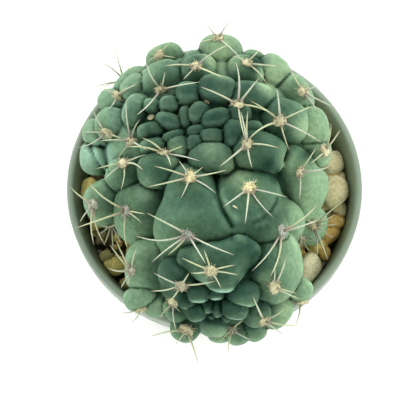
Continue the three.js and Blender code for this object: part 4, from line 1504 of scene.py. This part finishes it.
def make_gravel(rng):
    heap = Heap()
    balls = {fineness: ball(fineness) for fineness in (LARGE_BALL, SMALL_BALL)}
    placed = []

    def add(centre, half, turn, tint, fineness):
        vertices, faces = balls[fineness]
        points = stone(centre, half, turn, len(placed) + 1, vertices)
        shade = np.array(tint) * rng.uniform(*STONE_SHADES)
        heap.add(points, faces, tint=np.tile(shade, (len(points), 1)))
        placed.append((centre, max(half[:2])))

    for *place, length, width, turn, tint, over in LARGE_STONES:
        sight = sight_lines(place)
        centre = eye + sight * ((SOIL_TOP + over - eye[2]) / sight[2])
        room = inside_radius(centre[2]) - width / 2 - LARGE_GAP
        centre[:2] *= min(1, room / np.hypot(*centre[:2]))
        half = np.array([length / 2, width / 2, width * LARGE_FLATNESS])
        add(centre, half, math.radians(turn), tint, LARGE_BALL)
    inner, outer = GRIT_RING
    for count, low, high, fineness in GRIT:
        for _ in range(count):
            size = low + (high - low) * rng.random() ** GRIT_SKEW
            for _ in range(GRIT_TRIES):
                radius = math.sqrt(inner**2 + rng.random() * (outer**2 - inner**2))
                angle = rng.random() * 2 * math.pi
                centre = np.array([radius * math.cos(angle), radius * math.sin(angle), 0.0])
                centre[2] = soil_height(centre[None])[0] + size * rng.uniform(*GRIT_RISE)
                far = all(
                    np.linalg.norm(centre - other) > GRIT_APART * (size + wide) for other, wide in placed
                )
                if far and body_distance(centre[None])[0] > size * GRIT_CLEAR:
                    half = size * np.array([rng.uniform(*GRIT_STRETCH), 1, rng.uniform(*GRIT_FLATNESS)])
                    shares = EAST_SHARES if centre[0] > 0 else WEST_SHARES
                    tint = TINTS[rng.choice(len(TINTS), p=shares)]
                    add(centre, half, rng.random() * math.pi, tint, fineness)
                    break
    return dress(heap.build("gravel_stones"), "gravel", stone_material())


# ---------------------------------------------------------------- studio

FLOOR_REACH = 3000
TENT_WALL = 3.3
TENT_TOP = 0.4
TENT_EDGE = (0.3, 0.9)
TENT_NORTH = 0.36
TENT_COLOUR = (1.0, 1.0, 0.985)
# Soft lamps, in metres: name, place, target, size, watts, colour.
LAMPS = [
    ("key", (-0.25, 0.5, 0.65), (0, 0, 0.09), 0.5, 1.5, (1, 1, 1)),
    ("fill", (0.36, -0.05, 0.5), (0.04, 0, 0.07), 0.25, 0.7, (1.0, 0.97, 0.86)),
]
SENSOR = 36.0


def make_floor():
    shader = Shader("studio_floor", Roughness=0.9, Specular_IOR_Level=0.1)
    corners = [(FLOOR_REACH * x, FLOOR_REACH * y, 0) for x, y in ((-1, -1), (1, -1), (1, 1), (-1, 1))]
    obj = build("studio_floor", corners, [[0, 1, 2, 3]])
    obj.data.materials.append(shader.finish(Base_Color=shader.clouds(8, 2, 0.93, 0.95)))


def area_light(name, place, target, size, watts, colour):
    light = bpy.data.lights.new(name, "AREA")
    light.shape = "DISK"
    light.size = size
    light.energy = watts
    light.color = colour
    obj = bpy.data.objects.new(name, light)
    obj.location = place
    obj.rotation_mode = "QUATERNION"
    obj.rotation_quaternion = (Vector(place) - Vector(target)).to_track_quat("Z", "Y")
    bpy.context.scene.collection.objects.link(obj)


def make_studio():
    """A light tent: bright walls all round, a dark top, and a soft lamp from either side."""
    make_floor()
    world = bpy.data.worlds.new("studio")
    world.use_nodes = True
    air = Nodes(world.node_tree)
    upward = air.node("SeparateXYZ", {0: air.node("TexCoord").outputs["Generated"]}).outputs
    low, high = TENT_EDGE
    edge = {"From Min": low, "From Max": high, "To Min": TENT_WALL, "To Max": TENT_TOP}
    tent = air.node("MapRange", {"Value": upward["Z"], **edge}, interpolation_type="SMOOTHSTEP").outputs[0]
    north = air.math("MULTIPLY_ADD", upward["Y"], TENT_NORTH, 1.0)
    background = air.tree.nodes["Background"].inputs
    air.give(background["Strength"], air.math("MULTIPLY", tent, north))
    air.give(background["Color"], TENT_COLOUR)
    bpy.context.scene.world = world
    bpy.context.scene.view_settings.view_transform = "Standard"
    for lamp in LAMPS:
        area_light(*lamp)


def make_camera():
    data = bpy.data.cameras.new("photo_view")
    data.sensor_width = SENSOR
    data.lens = SENSOR * DISTANCE / (GRID_SIZE * CELL)
    data.shift_x = (GRID_SIZE / 2 - VIEW_COLUMN) / GRID_SIZE
    data.shift_y = (VIEW_ROW - GRID_SIZE / 2) / GRID_SIZE
    data.clip_start = 0.01
    camera = bpy.data.objects.new("photo_view", data)
    camera.location = Vector(eye * MM)
    camera.rotation_mode = "QUATERNION"
    turn = Matrix(np.stack([view_right, view_up, view_back], 1).tolist())
    camera.rotation_quaternion = turn.to_quaternion()
    bpy.context.scene.collection.objects.link(camera)
    bpy.context.scene.camera = camera


# ---------------------------------------------------------------- assembly

rng = np.random.default_rng(12)
areoles = [*seen_areoles(), *flank_areoles()]
make_skin(areoles)
make_spines(areoles, rng)
make_wool(areoles, rng)
make_pot()
make_soil()
make_gravel(rng)
make_studio()
make_camera()
